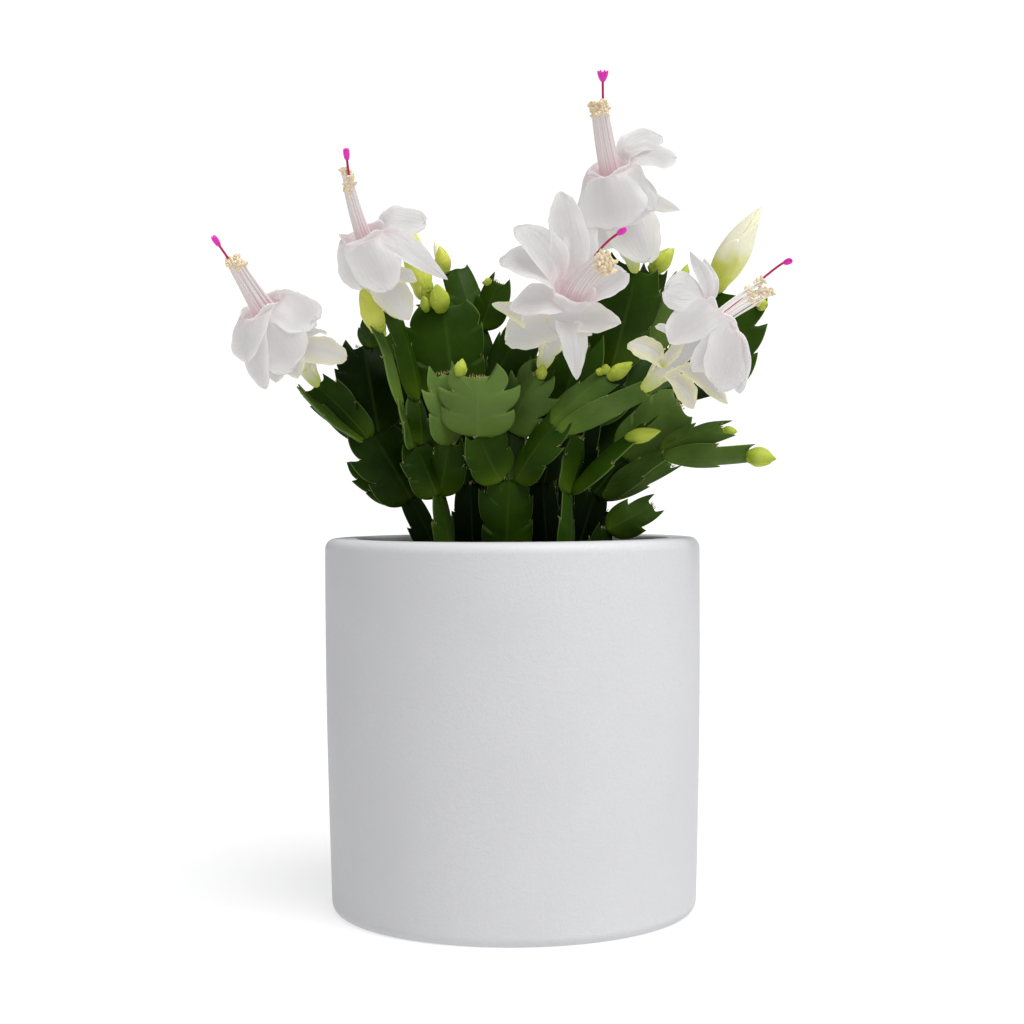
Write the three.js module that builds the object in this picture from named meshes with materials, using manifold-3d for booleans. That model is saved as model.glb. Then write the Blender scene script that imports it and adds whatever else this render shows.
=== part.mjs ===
// A Christmas cactus in bloom in a plain round pot. Millimetres, +Z up.
// The origin is the centre of the flat underside of the pot, and the front of the plant is towards -Y.

import * as THREE from 'three';
import { mergeVertices } from 'three/addons/utils/BufferGeometryUtils.js';
import Module from 'manifold-3d';

const wasm = await Module();
wasm.setup();

// Pot: a plain tapered cylinder with a thick wall and soft edges
const POT = {
  height: 147.6,
  footRadius: 69.5,
  baseRadius: 72.4,
  bodyRadius: 74.5,
  taperTop: 122,
  mouthRadius: 61.7,
  floor: 11,
  rimDrop: 5.5,
  rimWidth: 4.5,
  lipDrop: 1.3,
  lipWidth: 1.0,
  footLift: 4,
  sides: 36,
};

// Soil: it fills the pot to a little under the rim and is slightly heaped
const SOIL = { wallLevel: 132, heap: 4, crumb: 0.9, sides: 20, rings: [16, 34, 50] };

// Fits between neighbours
const GAP = 0.35;
const SINK = 2.0;

// The stems' roots, which stand in plain holes in the soil
const ROOT = { radius: 3.0, sides: 6, holeSides: 8, depth: 14, stand: 1.5 };

// The layout below is written as it is seen from one viewpoint in front of the pot:
// x and z are where a point appears on the upright plane through the pot's axis, y is its real depth
const EYE = { distance: 735.5, height: 166.3, side: 1 };

function sighted(x, z, y) {
  const reach = 1 + y / EYE.distance;
  return new THREE.Vector3((x + EYE.side) * reach, y, EYE.height + (z - EYE.height) * reach);
}

// A repeatable draw between 0 and 1 for the k-th of a kind
function draw(k) {
  const wave = Math.sin(k * 12.9898) * 43758.5453;
  return wave - Math.floor(wave);
}

// Half outline of a pad with two teeth a side, from its neck to the horn at its end:
// share of its length, share of its half width, and where the rib to that point leaves the midrib
const BROAD_EDGE = [
  [0.0, 0.05, 0], [0.17, 0.82, 0.09],
  [0.42, 1.0, 0.27], [0.4, 0.82, 0.33],
  [0.72, 0.98, 0.54], [0.7, 0.76, 0.6],
  [1.02, 0.66, 0.68],
];
// The same for a narrow pad, which has one tooth a side
const NARROW_EDGE = [
  [0.0, 0.05, 0], [0.18, 0.82, 0.1],
  [0.58, 1.0, 0.4], [0.56, 0.8, 0.46],
  [1.02, 0.66, 0.64],
];
const NARROW = 15.5;
// Where a bud or a bloom stands on a pad's end, the horns beside it are low
const LOW_HORN = [0.95, 0.74];
// Half thicknesses of a pad at its neck, midrib, apex and margin, where its end and its seats lie,
// its cup and twist, and how far its teeth wander along it and across it
const PAD = {
  neck: 0.45, midrib: 1.1, tip: 0.8, margin: 0.5,
  apex: 0.9, seat: 0.86, seatSpread: 0.34,
  cup: 0.14, twist: 0.3,
  wanderAlong: 0.05, wanderAcross: 0.08,
};
// What the joins leave smaller than this is smoothed away
const TRIM = 0.1;

// The pads of each stem: name, the pad it grows from (or 'soil'), its place across that pad's end,
// tip x, z, y, width, turn in degrees about its own length (0 faces the front) and bow
const STEMS = {
  stem_front: {
    root: [-3, -20],
    pads: [
      ['a0', 'soil', 0, -2.2, 174, -27, 21, 6, 0.04],
      ['a1', 'a0', -0.9, -15.4, 189.5, -36, 19, 12, -0.06],
      ['a2', 'a0', 1.0, 21.5, 194.5, -36, 17, -28, 0.06],
      ['a3', 'a0', 0, -1, 192, -20, 13, 4, 0.0],
      ['a4', 'a1', 0, -14.5, 213.5, -41, 31, -4, 0.08],
      ['a5', 'a3', -0.2, 11, 213.5, -30, 22, -14, 0.08],
      ['a6', 'a3', 0.8, 12.4, 218, -16, 14, 10, 0.04],
      ['a7', 'a2', -0.7, 41, 213, -32, 15, -24, 0.05],
      ['a8', 'a2', 0.9, 58, 211, -48, 16, 34, -0.08],
    ],
  },
  stem_front_left: {
    root: [-25, -16],
    pads: [
      ['b0', 'soil', 0, -30.8, 167.5, -18, 12, 48, 0.03],
      ['b1', 'b0', 0.9, -24.8, 187, -27, 15, -18, 0.04],
      ['b2', 'b1', 0, -29, 215.5, -31, 22, 46, 0.06],
      ['b3', 'b0', -0.9, -42.4, 185.5, -18, 14, 40, 0.05],
      ['b4', 'b3', -0.6, -46, 202, -24, 11, 76, 0],
      ['b5', 'b4', 0, -55.4, 232.5, -17, 13, 78, 0.05],
      ['b6', 'b3', 0.8, -39.4, 203, -12, 11, 50, 0.04],
      ['b7', 'b6', 0, -49.4, 240, -12, 14, 56, 0.05],
    ],
  },
  stem_left: {
    root: [-28.5, -3],
    pads: [
      ['c0', 'soil', 0, -43.5, 165.5, -4, 12, 16, 0.04],
      ['c1', 'c0', 0, -61.5, 191.5, -8, 18, 14, 0.05],
      ['c2', 'c1', 0.6, -61.5, 227, 4, 26, 10, 0.05],
      ['c3', 'c1', -0.6, -85.4, 209.5, -14, 14, -44, -0.05],
      ['c4', 'c0', -0.7, -61, 178.6, 6, 10, 22, 0.04],
      ['c5', 'c2', 0.5, -56.6, 235, 8, 10, 20, 0],
    ],
  },
  stem_middle: {
    root: [-16, 4],
    pads: [
      ['d0', 'soil', 0, -18, 172, 0, 15, 8, 0.03],
      ['d1', 'd0', -0.8, -24.5, 204.5, -6, 15, 10, 0.03],
      ['d2', 'd1', 0, -28.6, 243, -4, 30, 2, 0.04],
      ['d3', 'd0', 0.9, -12, 206.5, 4, 14, -8, 0.03],
      ['d4', 'd3', 0.6, 5.4, 231.5, -8, 22, -20, 0.06],
      ['d5', 'd3', -0.4, -15.6, 234, 10, 15, 10, 0.04],
      ['d6', 'd5', -0.2, -24, 256.5, 18, 15, 12, 0.05],
      ['d7', 'd5', 1.0, -5, 250.5, 6, 15, -12, 0.05],
      ['d8', 'd5', -1.0, -38, 243.5, 1, 11, 20, 0.05],
    ],
  },
  stem_right_back: {
    root: [20, 12],
    pads: [
      ['e0', 'soil', 0, 25, 174, 12, 16, 10, 0.03],
      ['e1', 'e0', -0.5, 31, 196, 6, 15, -12, 0.03],
      ['e2', 'e1', 0, 41, 217, 2, 16, 10, 0.03],
      ['e3', 'e2', -0.3, 50, 259, -6, 27, 12, 0.06],
      ['e4', 'e2', 0.8, 58.5, 257, 8, 17, 40, 0.06],
      ['e5', 'e1', 1.0, 54.5, 222, 18, 15, -14, 0.04],
      ['e6', 'e5', 0, 67.5, 249, 20, 16, 24, 0.06],
      ['e7', 'e0', 0.8, 50.5, 195, 20, 15, 14, 0.03],
      ['e8', 'e7', 0, 71, 206, 20, 15, 6, 0.04],
      ['e9', 'e8', 0, 89.5, 244.5, 16, 28, -8, 0.06],
    ],
  },
  stem_right: {
    root: [24, -8],
    pads: [
      ['f0', 'soil', 0, 33, 165, -8, 17, 6, 0.03],
      ['f1', 'f0', 0, 45.5, 180, -6, 17, -10, 0.03],
      ['f2', 'f1', -0.7, 71.5, 204.5, 4, 18, -12, 0.07],
      ['f3', 'f1', 0.8, 64, 194, -13, 15, 24, 0.03],
      ['f4', 'f0', 1.0, 62.5, 182.5, -25, 10, -24, 0.03],
      ['f5', 'f4', -0.8, 86, 190.5, -26, 14, -18, 0.05],
      ['f6', 'f4', 0.8, 98, 181, -34, 14, 50, 0.06],
      ['f7', 'f0', 1.0, 66, 177.4, 4, 10, 30, 0.0],
    ],
  },
  stem_right_front: {
    root: [21, -26],
    pads: [
      ['g0', 'soil', 0, 21.4, 168.5, -26, 11, 56, 0.02],
      ['g1', 'g0', -0.9, 27, 188, -23, 15, 62, 0.04],
      ['g2', 'g0', 0.9, 48.6, 188.5, -33, 15, -62, 0.06],
    ],
  },
  stem_right_low: {
    root: [32, -20],
    pads: [
      ['h0', 'soil', 0, 36.5, 151.5, -21, 10, 14, 0.02],
      ['h1', 'h0', 0.4, 57.2, 160, -21, 14, 12, 0.07],
    ],
  },
  stem_inner: {
    root: [14, -4],
    pads: [
      ['i0', 'soil', 0, 10.8, 172.5, -2, 14, 0, 0.03],
      ['i1', 'i0', 0, 17, 196, -8, 16, 16, 0.05],
      ['i2', 'i1', 0, 29, 222, -12, 21, -10, 0.06],
    ],
  },
  stem_back_left: {
    root: [-8, 22],
    pads: [
      ['k0', 'soil', 0, -9, 170, 28, 16, -8, -0.04],
      ['k1', 'k0', -0.8, -23, 193, 36, 16, -14, -0.05],
      ['k2', 'k1', -0.8, -42, 209, 44, 19, -20, -0.06],
      ['k3', 'k1', 0.8, -20, 222, 58, 20, 8, -0.05],
      ['k4', 'k2', 0, -54, 230, 62, 22, -24, -0.08],
      ['k5', 'k0', 0.9, 1, 193, 50, 16, 10, -0.05],
      ['k6', 'k5', 0, 2, 214, 64, 23, 6, -0.08],
    ],
  },
  stem_back_right: {
    root: [16, 28],
    pads: [
      ['m0', 'soil', 0, 18, 169, 36, 16, 8, -0.04],
      ['m1', 'm0', 0.7, 36, 189, 44, 17, 18, -0.05],
      ['m2', 'm1', 0.8, 56, 203, 48, 19, 24, -0.06],
      ['m3', 'm1', -0.8, 33, 216, 60, 20, 6, -0.05],
      ['m4', 'm2', 0, 66, 223, 64, 21, 20, -0.08],
      ['m5', 'm0', -0.6, 19, 188, 56, 16, -6, -0.06],
      ['m6', 'm5', 0, 22, 201, 80, 21, -10, -0.1],
    ],
  },
  stem_back: {
    root: [-2, 38],
    pads: [
      ['n0', 'soil', 0, -4, 163, 50, 14, -8, -0.05],
      ['n1', 'n0', -0.9, -18, 181, 64, 16, -20, -0.08],
      ['n2', 'n1', 0, -29, 192, 84, 20, -26, -0.12],
      ['n3', 'n0', 0.9, 9, 174, 74, 16, 20, -0.1],
    ],
  },
};

// Small green buds, fused with their stem: the pad they stand on, place across its end, tip x, z, y, radius
const SMALL_BUDS = [
  ['b2', 0, -21.6, 221.5, -34, 2.4],
  ['a5', 0.3, 11.6, 216, -31, 2.3],
  ['a7', -0.9, 31.5, 216, -36, 1.6],
  ['a7', -0.5, 35, 218.5, -36, 2.0],
  ['d2', -0.9, -36, 243.5, -10, 2.1],
  ['d7', -0.6, -12.6, 248.5, 10, 1.9],
  ['e9', 0.9, 97.4, 239.5, 14, 2.6],
  ['f5', 0.3, 89.4, 188.4, -26, 2.1],
  ['k3', 0, -20, 231, 56, 2.2],
  ['m6', 0, 23, 204, 88, 2.2],
];

// Large buds, each a piece of its own: name, pad, place across its end, tip x, z, y, radius
const BUDS = [
  ['bud_pale', 'e9', -0.9, 97.6, 278.4, 6, 7.2],
  ['bud_left', 'b5', 0, -60.6, 247.4, -18, 3.8],
  ['bud_middle', 'd2', -0.1, -31, 248.2, -12, 4.0],
  ['bud_upper', 'd6', -0.2, -30, 262.6, 14, 3.6],
  ['bud_mid_left', 'd8', -0.7, -45.4, 269, 3, 4.4],
  ['bud_branch', 'a7', 0.3, 44.2, 218.4, -37, 2.9],
  ['bud_fold', 'g2', 0, 57, 190.4, -36, 3.0],
  ['bud_tip', 'f6', 0, 104, 177.6, -38, 3.8],
  ['bud_top', 'e4', -0.6, 62.4, 262, 4, 3.6],
  ['bud_back', 'k4', 0, -58, 244, 70, 3.8],
  ['bud_back_right', 'm4', 0, 69, 236, 72, 3.6],
];

// Rows of a bud: share of its length and of its radius
const BUD_ROWS = [[0, 0.3], [0.18, 0.78], [0.42, 1.0], [0.72, 0.74], [1, 0.08]];
const BUD_SIDES = { large: 7, small: 5 };

// Petal outline: share of its length and of its half width
const PETAL_ROWS = [[0, 0.4], [0.36, 0.92], [0.74, 0.86]];
// Its thickness along the middle and the edge, its cup, how far it is sunk in the tube, how close to the
// mouth the inner ones leave it, and the knee of its bend, which moves outwards and up with its arch
const PETAL = {
  middle: 1.1, edge: 0.8, cup: 0.22, sink: 1.0, leave: 0.97,
  kneeOut: 0.3, kneeOutByArch: 0.3, kneeUp: 0.25, kneeUpByArch: 0.35,
};

// Tube of a bloom: share of its length and radius
const TUBE_ROWS = [[0, 1.1], [0.09, 3.2], [0.45, 3.9], [1, 6.2]];
const TUBE = { sides: 8, throatRadius: 4.3, throatDepth: 9, flare: 1.6 };

// Stamens: a plug in the throat and slim filaments that end in anthers.
// knee is how far the bundle runs straight out, plugTop the plug's share of it, and the last three are the
// least share and the spread of a filament's reach and of its distance from the middle, and its waist
const STAMEN = {
  plug: 3.8, plugFoot: 3.65, plugTop: 0.08, knee: 0.6,
  filaments: 7, sides: 3, root: 2.9, thick: 0.5, spread: 2.7,
  reach: [0.9, 0.16], apart: [0.8, 0.5], waist: 0.25,
};
// Rows of a filament: share of its length and its radius in filament radii, the last three its anther
const FILAMENT_ROWS = [[0.02, 1], [0.5, 1], [0.93, 0.9], [0.98, 2.3], [1.05, 0.8]];
// The style in their midst and the stigma on its end: distance along it and radius
const STYLE = { radius: 0.65, sides: 4, end: 0.95, stigmaFrom: 0.93, stigmaSides: 5 };
const STIGMA_ROWS = [[0, 0.96], [2.4, 1.76], [4.4, 0.64]];

// Blooms: the pad each stands on, the mouth of its tube, its anthers and its stigma,
// and its petals: where they leave the tube, tip x, z, y, width, how far they arch outwards,
// and how far they are rolled to face the front (0 to 1)
const BLOOMS = {
  bloom_left: {
    pad: 'c3',
    mouth: [-101, 239.5, -22],
    anthers: [-111.5, 257, -26],
    stigma: [-119.4, 266.6, -28],
    petals: [
      [1, -106, 218, -28, 16, 0.5, 0.2],
      [1, -93, 222, -40, 17, 0.5, 0],
      [1, -79, 238, -28, 14, 0.45, 0.3],
      [1, -81, 229.6, -12, 14, 0.5, 0.2],
      [1, -98, 223, -4, 14, 0.5, 0],
      [0.55, -99.4, 206.6, -26, 16, 0.4, 0.6],
      [0.5, -67.4, 220.4, -26, 13, 0.35, 0.7],
      [0.5, -75, 230, -14, 10, 0.35, 0.5],
      [0.45, -89, 209, -36, 11, 0.35, 0.4],
    ],
  },
  bloom_mid_left: {
    pad: 'b7',
    mouth: [-61.5, 269, -20],
    anthers: [-65.6, 290.5, -22],
    stigma: [-66.2, 300.6, -23],
    petals: [
      [1, -60.5, 249.5, -28, 14, 0.05, 0.2],
      [1, -52, 247, -38, 17, 0.4, 0.2],
      [1, -35, 272.6, -22, 12, 0.2, 0.8],
      [1, -42, 258, -6, 14, 0.4, 0.3],
      [1, -58, 252, -4, 14, 0.2, 0],
      [0.55, -26.4, 249.2, -28, 13, 0.3, 0.6],
      [0.45, -42, 233.8, -33, 15, 0.35, 0.6],
      [0.4, -38, 254, -4, 10, 0.3, 0.3],
    ],
  },
  bloom_centre: {
    pad: 'a6',
    mouth: [25, 247, -42],
    anthers: [39.4, 257.6, -60],
    stigma: [44.2, 268.6, -68],
    petals: [
      [1, 19.4, 284.8, -36, 16, 0.15, 0.5],
      [1, 2.4, 271, -42, 17, 0.15, 0.5],
      [1, -5, 258.2, -44, 16, 0.15, 0.5],
      [1, 30, 277, -30, 15, 0.15, 0.5],
      [1, 46, 249, -46, 13, 0.15, 0.5],
      [0.85, -2.6, 238, -46, 17, 0.2, 0.7],
      [0.85, 43, 230.4, -48, 17, 0.2, 0.8],
      [0.7, 25, 209.6, -50, 18, 0.2, 0.8],
      [0.55, -2.6, 226, -36, 14, 0.25, 0.8],
      [0.5, -8.2, 238.4, -32, 10, 0.3, 0.6],
      [0.5, 31, 228, -24, 10, 0.3, 0.4],
    ],
  },
  bloom_top: {
    pad: 'e3',
    mouth: [37.5, 293, -8],
    anthers: [34.2, 317.4, -10],
    stigma: [36.2, 331.6, -10],
    petals: [
      [1, 57.8, 306, -6, 13, 0.1, 0.7],
      [1, 65.4, 297.8, -12, 13, 0.15, 0.8],
      [1, 55, 281, -24, 14, 0.4, 0.4],
      [1, 29, 277.6, -16, 15, 0.35, 0.3],
      [1, 38, 270.6, -26, 18, 0.4, 0.2],
      [1, 31, 275, 8, 15, 0.4, 0],
      [1, 50, 278, 14, 14, 0.4, 0],
      [0.5, 67.8, 277.4, -8, 12, 0.3, 0.7],
      [0.45, 54, 256.4, -24, 15, 0.35, 0.6],
      [0.4, 55.4, 262.4, 2, 10, 0.3, 0.4],
      [0.5, 31, 263, -2, 13, 0.35, 0.4],
    ],
  },
  bloom_right: {
    pad: 'a8',
    mouth: [84, 235.5, -40],
    anthers: [100.6, 245.8, -42],
    stigma: [109, 256, -44],
    petals: [
      [1, 69.8, 260.4, -34, 11, 0.1, 0.9],
      [1, 76.4, 258, -30, 11, 0.1, 0.9],
      [1, 60.8, 245.4, -42, 17, 0.25, 0.9],
      [1, 61.8, 226.6, -54, 19, 0.35, 0.7],
      [1, 89, 203.4, -42, 12, 0.05, 0.8],
      [1, 75, 207.4, -56, 17, 0.2, 0.7],
      [1, 80, 214, -26, 12, 0.1, 0.2],
      [0.5, 46, 224, -46, 12, 0.3, 0.9],
      [0.4, 84.6, 201.4, -48, 11, 0.25, 0.9],
      [0.3, 72, 198.4, -48, 9, 0.25, 0.8],
      [0.5, 57, 231.2, -32, 9, 0.3, 0.7],
    ],
  },
};

const MATERIALS = {
  glaze: new THREE.MeshStandardMaterial({ color: 0xe9e9ec, roughness: 0.55 }),
  soil: new THREE.MeshStandardMaterial({ color: 0x2c2019, roughness: 0.95 }),
  pad: new THREE.MeshStandardMaterial({ color: 0x2f4f1c, roughness: 0.4 }),
  petal: new THREE.MeshStandardMaterial({ color: 0xf3eff2, roughness: 0.5 }),
  stamen: new THREE.MeshStandardMaterial({ color: 0xf2e3c4, roughness: 0.6 }),
  pistil: new THREE.MeshStandardMaterial({ color: 0xc8186e, roughness: 0.5 }),
  bud: new THREE.MeshStandardMaterial({ color: 0xb9c84a, roughness: 0.4 }),
};

// Solids in and out of the boolean library

function toSolid(geometry) {
  const bare = geometry.clone();
  bare.deleteAttribute('normal');
  bare.deleteAttribute('uv');
  const merged = mergeVertices(bare, 1e-4);
  return new wasm.Manifold(
    new wasm.Mesh({
      numProp: 3,
      vertProperties: new Float32Array(merged.attributes.position.array),
      triVerts: new Uint32Array(merged.index.array),
    }),
  );
}

function toGeometry(solid) {
  const mesh = solid.getMesh();
  const geometry = new THREE.BufferGeometry();
  geometry.setAttribute('position', new THREE.BufferAttribute(mesh.vertProperties, 3));
  geometry.setIndex(new THREE.BufferAttribute(mesh.triVerts, 1));
  geometry.computeVertexNormals();
  return geometry;
}

// A closed solid from a list of points and a list of faces, each a loop of point numbers
function shell(points, faces) {
  const geometry = new THREE.BufferGeometry();
  geometry.setAttribute('position', new THREE.Float32BufferAttribute(points.flatMap((p) => p.toArray()), 3));
  const triangles = faces.flatMap((loop) =>
    loop.slice(2).flatMap((last, k) => [loop[0], loop[k + 1], last]),
  );
  geometry.setIndex(triangles);
  return toSolid(geometry);
}

function join(solids) {
  return wasm.Manifold.union(solids).simplify(TRIM);
}

// Curves and frames

function along(from, to) {
  return to.clone().sub(from).normalize();
}

// The part of a vector that is square to an axis
function squareTo(vector, axis) {
  return vector.clone().addScaledVector(axis, -vector.dot(axis)).normalize();
}

// A point on a bent line between three points, and its direction there
function bend(a, b, c, t) {
  const point = a.clone().multiplyScalar((1 - t) ** 2);
  point.addScaledVector(b, 2 * t * (1 - t)).addScaledVector(c, t * t);
  const direction = b.clone().sub(a).multiplyScalar(1 - t);
  direction.addScaledVector(c.clone().sub(b), t).normalize();
  return { point, direction };
}

// A tube of given stations: centre, direction and radius, with flat ends
function loft(stations, sides, hint) {
  const points = [];
  for (const { centre, direction, radius } of stations) {
    const across = squareTo(hint, direction);
    const up = direction.clone().cross(across);
    for (let k = 0; k < sides; k += 1) {
      const angle = (2 * Math.PI * k) / sides;
      points.push(
        centre.clone()
          .addScaledVector(across, radius * Math.cos(angle))
          .addScaledVector(up, radius * Math.sin(angle)),
      );
    }
  }
  const last = (stations.length - 1) * sides;
  const faces = [
    Array.from({ length: sides }, (_, k) => sides - 1 - k),
    Array.from({ length: sides }, (_, k) => last + k),
  ];
  for (let ring = 0; ring < stations.length - 1; ring += 1) {
    for (let k = 0; k < sides; k += 1) {
      const a = ring * sides + k;
      const b = ring * sides + ((k + 1) % sides);
      faces.push([a, b, b + sides, a + sides]);
    }
  }
  return shell(points, faces);
}

// Pot and soil

function potSolid() {
  const p = POT;
  const corner = (x, z, w, h, from, to, steps) =>
    Array.from({ length: steps + 1 }, (_, k) => {
      const angle = from + ((to - from) * k) / steps;
      return new THREE.Vector2(x + w * Math.cos(angle), z + h * Math.sin(angle));
    });
  const footWidth = p.baseRadius - p.footRadius;
  const lipRadius = p.mouthRadius + p.lipWidth;
  const profile = [
    new THREE.Vector2(0, 0),
    ...corner(p.footRadius, p.footLift, footWidth, p.footLift, -Math.PI / 2, 0, 2),
    new THREE.Vector2(p.bodyRadius, p.taperTop),
    ...corner(p.bodyRadius - p.rimWidth, p.height - p.rimDrop, p.rimWidth, p.rimDrop, 0, Math.PI / 2, 3),
    ...corner(lipRadius, p.height - p.lipDrop, p.lipWidth, p.lipDrop, Math.PI / 2, Math.PI, 1),
    new THREE.Vector2(p.mouthRadius, p.floor),
    new THREE.Vector2(0, p.floor),
  ];
  const lathe = new THREE.LatheGeometry(profile, p.sides);
  lathe.rotateX(Math.PI / 2);
  return toSolid(lathe);
}

function soilLevel(x, y) {
  const radius = Math.hypot(x, y) / POT.mouthRadius;
  return SOIL.wallLevel + SOIL.heap * (1 - Math.min(1, radius) ** 2);
}

function soilSolid() {
  const wall = (POT.mouthRadius - GAP) * Math.cos(Math.PI / POT.sides);
  const low = POT.floor + GAP;
  const rings = [...SOIL.rings, wall];
  const points = [new THREE.Vector3(0, 0, low), new THREE.Vector3(0, 0, soilLevel(0, 0))];
  const ringStart = (ring) => 2 + ring * SOIL.sides;
  rings.forEach((radius, ring) => {
    for (let k = 0; k < SOIL.sides; k += 1) {
      const angle = (2 * Math.PI * k) / SOIL.sides;
      const x = radius * Math.cos(angle);
      const y = radius * Math.sin(angle);
      const crumb = ring < rings.length - 1 ? SOIL.crumb * (2 * draw(ring * SOIL.sides + k + 1) - 1) : 0;
      points.push(new THREE.Vector3(x, y, soilLevel(x, y) + crumb));
    }
  });
  const bottom = ringStart(rings.length);
  for (let k = 0; k < SOIL.sides; k += 1) {
    const angle = (2 * Math.PI * k) / SOIL.sides;
    points.push(new THREE.Vector3(wall * Math.cos(angle), wall * Math.sin(angle), low));
  }
  const faces = [];
  for (let k = 0; k < SOIL.sides; k += 1) {
    const next = (k + 1) % SOIL.sides;
    faces.push([1, ringStart(0) + k, ringStart(0) + next], [0, bottom + next, bottom + k]);
    for (let ring = 0; ring < rings.length; ring += 1) {
      const inner = ringStart(ring);
      const outer = ringStart(ring + 1);
      faces.push([inner + k, outer + k, outer + next, inner + next]);
    }
  }
  let soil = shell(points, faces);
  const holeRadius = (ROOT.radius + GAP) / Math.cos(Math.PI / ROOT.holeSides);
  for (const { root: [x, y] } of Object.values(STEMS)) {
    soil = soil.subtract(rootSolid(x, y, GAP + SINK, ROOT.holeSides, holeRadius));
  }
  return soil;
}

// A stem's root: an upright peg from the soil's top downwards
function rootSolid(x, y, extra, sides, radius) {
  const top = soilLevel(x, y) + ROOT.stand + extra;
  const foot = soilLevel(x, y) - ROOT.depth - (extra > 0 ? GAP : 0);
  const peg = new THREE.CylinderGeometry(radius, radius, top - foot, sides);
  peg.rotateX(Math.PI / 2).translate(x, y, (top + foot) / 2);
  return toSolid(peg);
}

// Pads

const FRONT = new THREE.Vector3(0, -1, 0.25).normalize();

class Pad {
  constructor(base, tip, width, turn, bow, order, laden) {
    this.base = base;
    this.length = tip.distanceTo(base);
    this.half = width / 2;
    this.outline = width < NARROW ? NARROW_EDGE : BROAD_EDGE;
    this.laden = laden;
    this.axis = along(base, tip);
    this.face = squareTo(FRONT, this.axis).applyAxisAngle(this.axis, THREE.MathUtils.degToRad(turn));
    this.bow = bow;
    this.twist = PAD.twist * (draw(order) - 0.5);
    this.order = order;
  }

  // A point of the pad's middle surface: u along it, v across it in half widths
  at(u, v, lift = 0) {
    const twist = this.twist * (u - 0.5);
    const face = this.face.clone().applyAxisAngle(this.axis, twist);
    const across = this.axis.clone().cross(face);
    const rise = this.length * this.bow * 4 * u * (1 - u) - this.half * PAD.cup * Math.sign(this.bow) * v * v;
    return this.base.clone()
      .addScaledVector(this.axis, this.length * u)
      .addScaledVector(across, this.half * v)
      .addScaledVector(face, rise + lift);
  }

  // The toothed half outline, a little different on each pad and each side
  edge(side) {
    return this.outline.map(([u, v], k) => {
      if (this.laden && k === this.outline.length - 1) {
        return LOW_HORN;
      }
      const tooth = Math.floor(k / 2);
      const change = tooth > 0 ? draw(this.order * 40 + side * 20 + tooth) - 0.5 : 0;
      return [u + PAD.wanderAlong * change, v * (1 + PAD.wanderAcross * change)];
    });
  }

  solid() {
    const points = [];
    const faces = [];
    const count = this.outline.length;
    // Front and back of the midrib, then of the left and the right edge
    for (const lift of [1, -1]) {
      this.outline.forEach(([, , u], k) => {
        points.push(this.at(u, 0, lift * (k === 0 ? PAD.neck : PAD.midrib)));
      });
      points.push(this.at(PAD.apex, 0, lift * PAD.tip));
    }
    const rib = (front, k) => (front ? 0 : count + 1) + k;
    for (const side of [-1, 1]) {
      for (const lift of [1, -1]) {
        this.edge(side + 2).forEach(([u, v], k) => {
          points.push(this.at(u, side * v, lift * (k === 0 ? PAD.neck : PAD.margin)));
        });
      }
    }
    const margin = (side, front, k) =>
      2 * (count + 1) + (side > 0 ? 2 * count : 0) + (front ? 0 : count) + k;
    for (const side of [-1, 1]) {
      for (const front of [true, false]) {
        const turned = (side > 0) !== front;
        const add = (loop) => faces.push(turned ? loop : [...loop].reverse());
        for (let k = 0; k < count - 1; k += 1) {
          add([rib(front, k), margin(side, front, k + 1), margin(side, front, k)]);
          add([rib(front, k), rib(front, k + 1), margin(side, front, k + 1)]);
        }
        add([rib(front, count - 1), rib(front, count), margin(side, front, count - 1)]);
      }
      const wall = (loop) => faces.push(side < 0 ? loop : [...loop].reverse());
      const last = count - 1;
      for (let k = 0; k < last; k += 1) {
        const next = k + 1;
        const [a, b] = [margin(side, true, k), margin(side, true, next)];
        wall([a, b, margin(side, false, next), margin(side, false, k)]);
      }
      wall([margin(side, true, last), rib(true, count), rib(false, count), margin(side, false, last)]);
      wall([rib(true, 0), margin(side, true, 0), margin(side, false, 0), rib(false, 0)]);
    }
    return shell(points, faces);
  }
}

function growPads() {
  const pads = {};
  const laden = new Set([...BUDS.map(([, pad]) => pad), ...Object.values(BLOOMS).map(({ pad }) => pad)]);
  let order = 1;
  for (const { root: [x, y], pads: rows } of Object.values(STEMS)) {
    for (const [name, parent, seat, tipX, tipZ, tipY, width, turn, bow] of rows) {
      const start =
        parent === 'soil'
          ? new THREE.Vector3(x, y, soilLevel(x, y) + ROOT.stand - SINK / 2)
          : pads[parent].at(PAD.seat, seat * PAD.seatSpread);
      pads[name] = new Pad(start, sighted(tipX, tipZ, tipY), width, turn, bow, order, laden.has(name));
      order += 1;
    }
  }
  return pads;
}

const PADS = growPads();

function stemSolid(stem) {
  const [x, y] = stem.root;
  const pieces = [rootSolid(x, y, 0, ROOT.sides, ROOT.radius)];
  const names = stem.pads.map(([name]) => name);
  names.forEach((name) => pieces.push(PADS[name].solid()));
  for (const [pad, seat, tipX, tipZ, tipY, radius] of SMALL_BUDS) {
    if (names.includes(pad)) {
      pieces.push(budSolid(PADS[pad].at(PAD.seat, seat), sighted(tipX, tipZ, tipY), radius, BUD_SIDES.small));
    }
  }
  return join(pieces);
}

// Buds

function budSolid(base, tip, radius, sides) {
  const direction = along(base, tip);
  const length = tip.distanceTo(base);
  const stations = BUD_ROWS.map(([u, share]) => ({
    centre: base.clone().addScaledVector(direction, length * u),
    direction,
    radius: radius * share,
  }));
  return loft(stations, sides, FRONT);
}

// Where a separate piece starts on the end of a pad, clear of it
function seatOn(pad, seat, towards) {
  const end = PADS[pad].at(PAD.apex, seat * PAD.seatSpread);
  return end.addScaledVector(along(end, towards), GAP + PAD.midrib);
}

// Blooms

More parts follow.
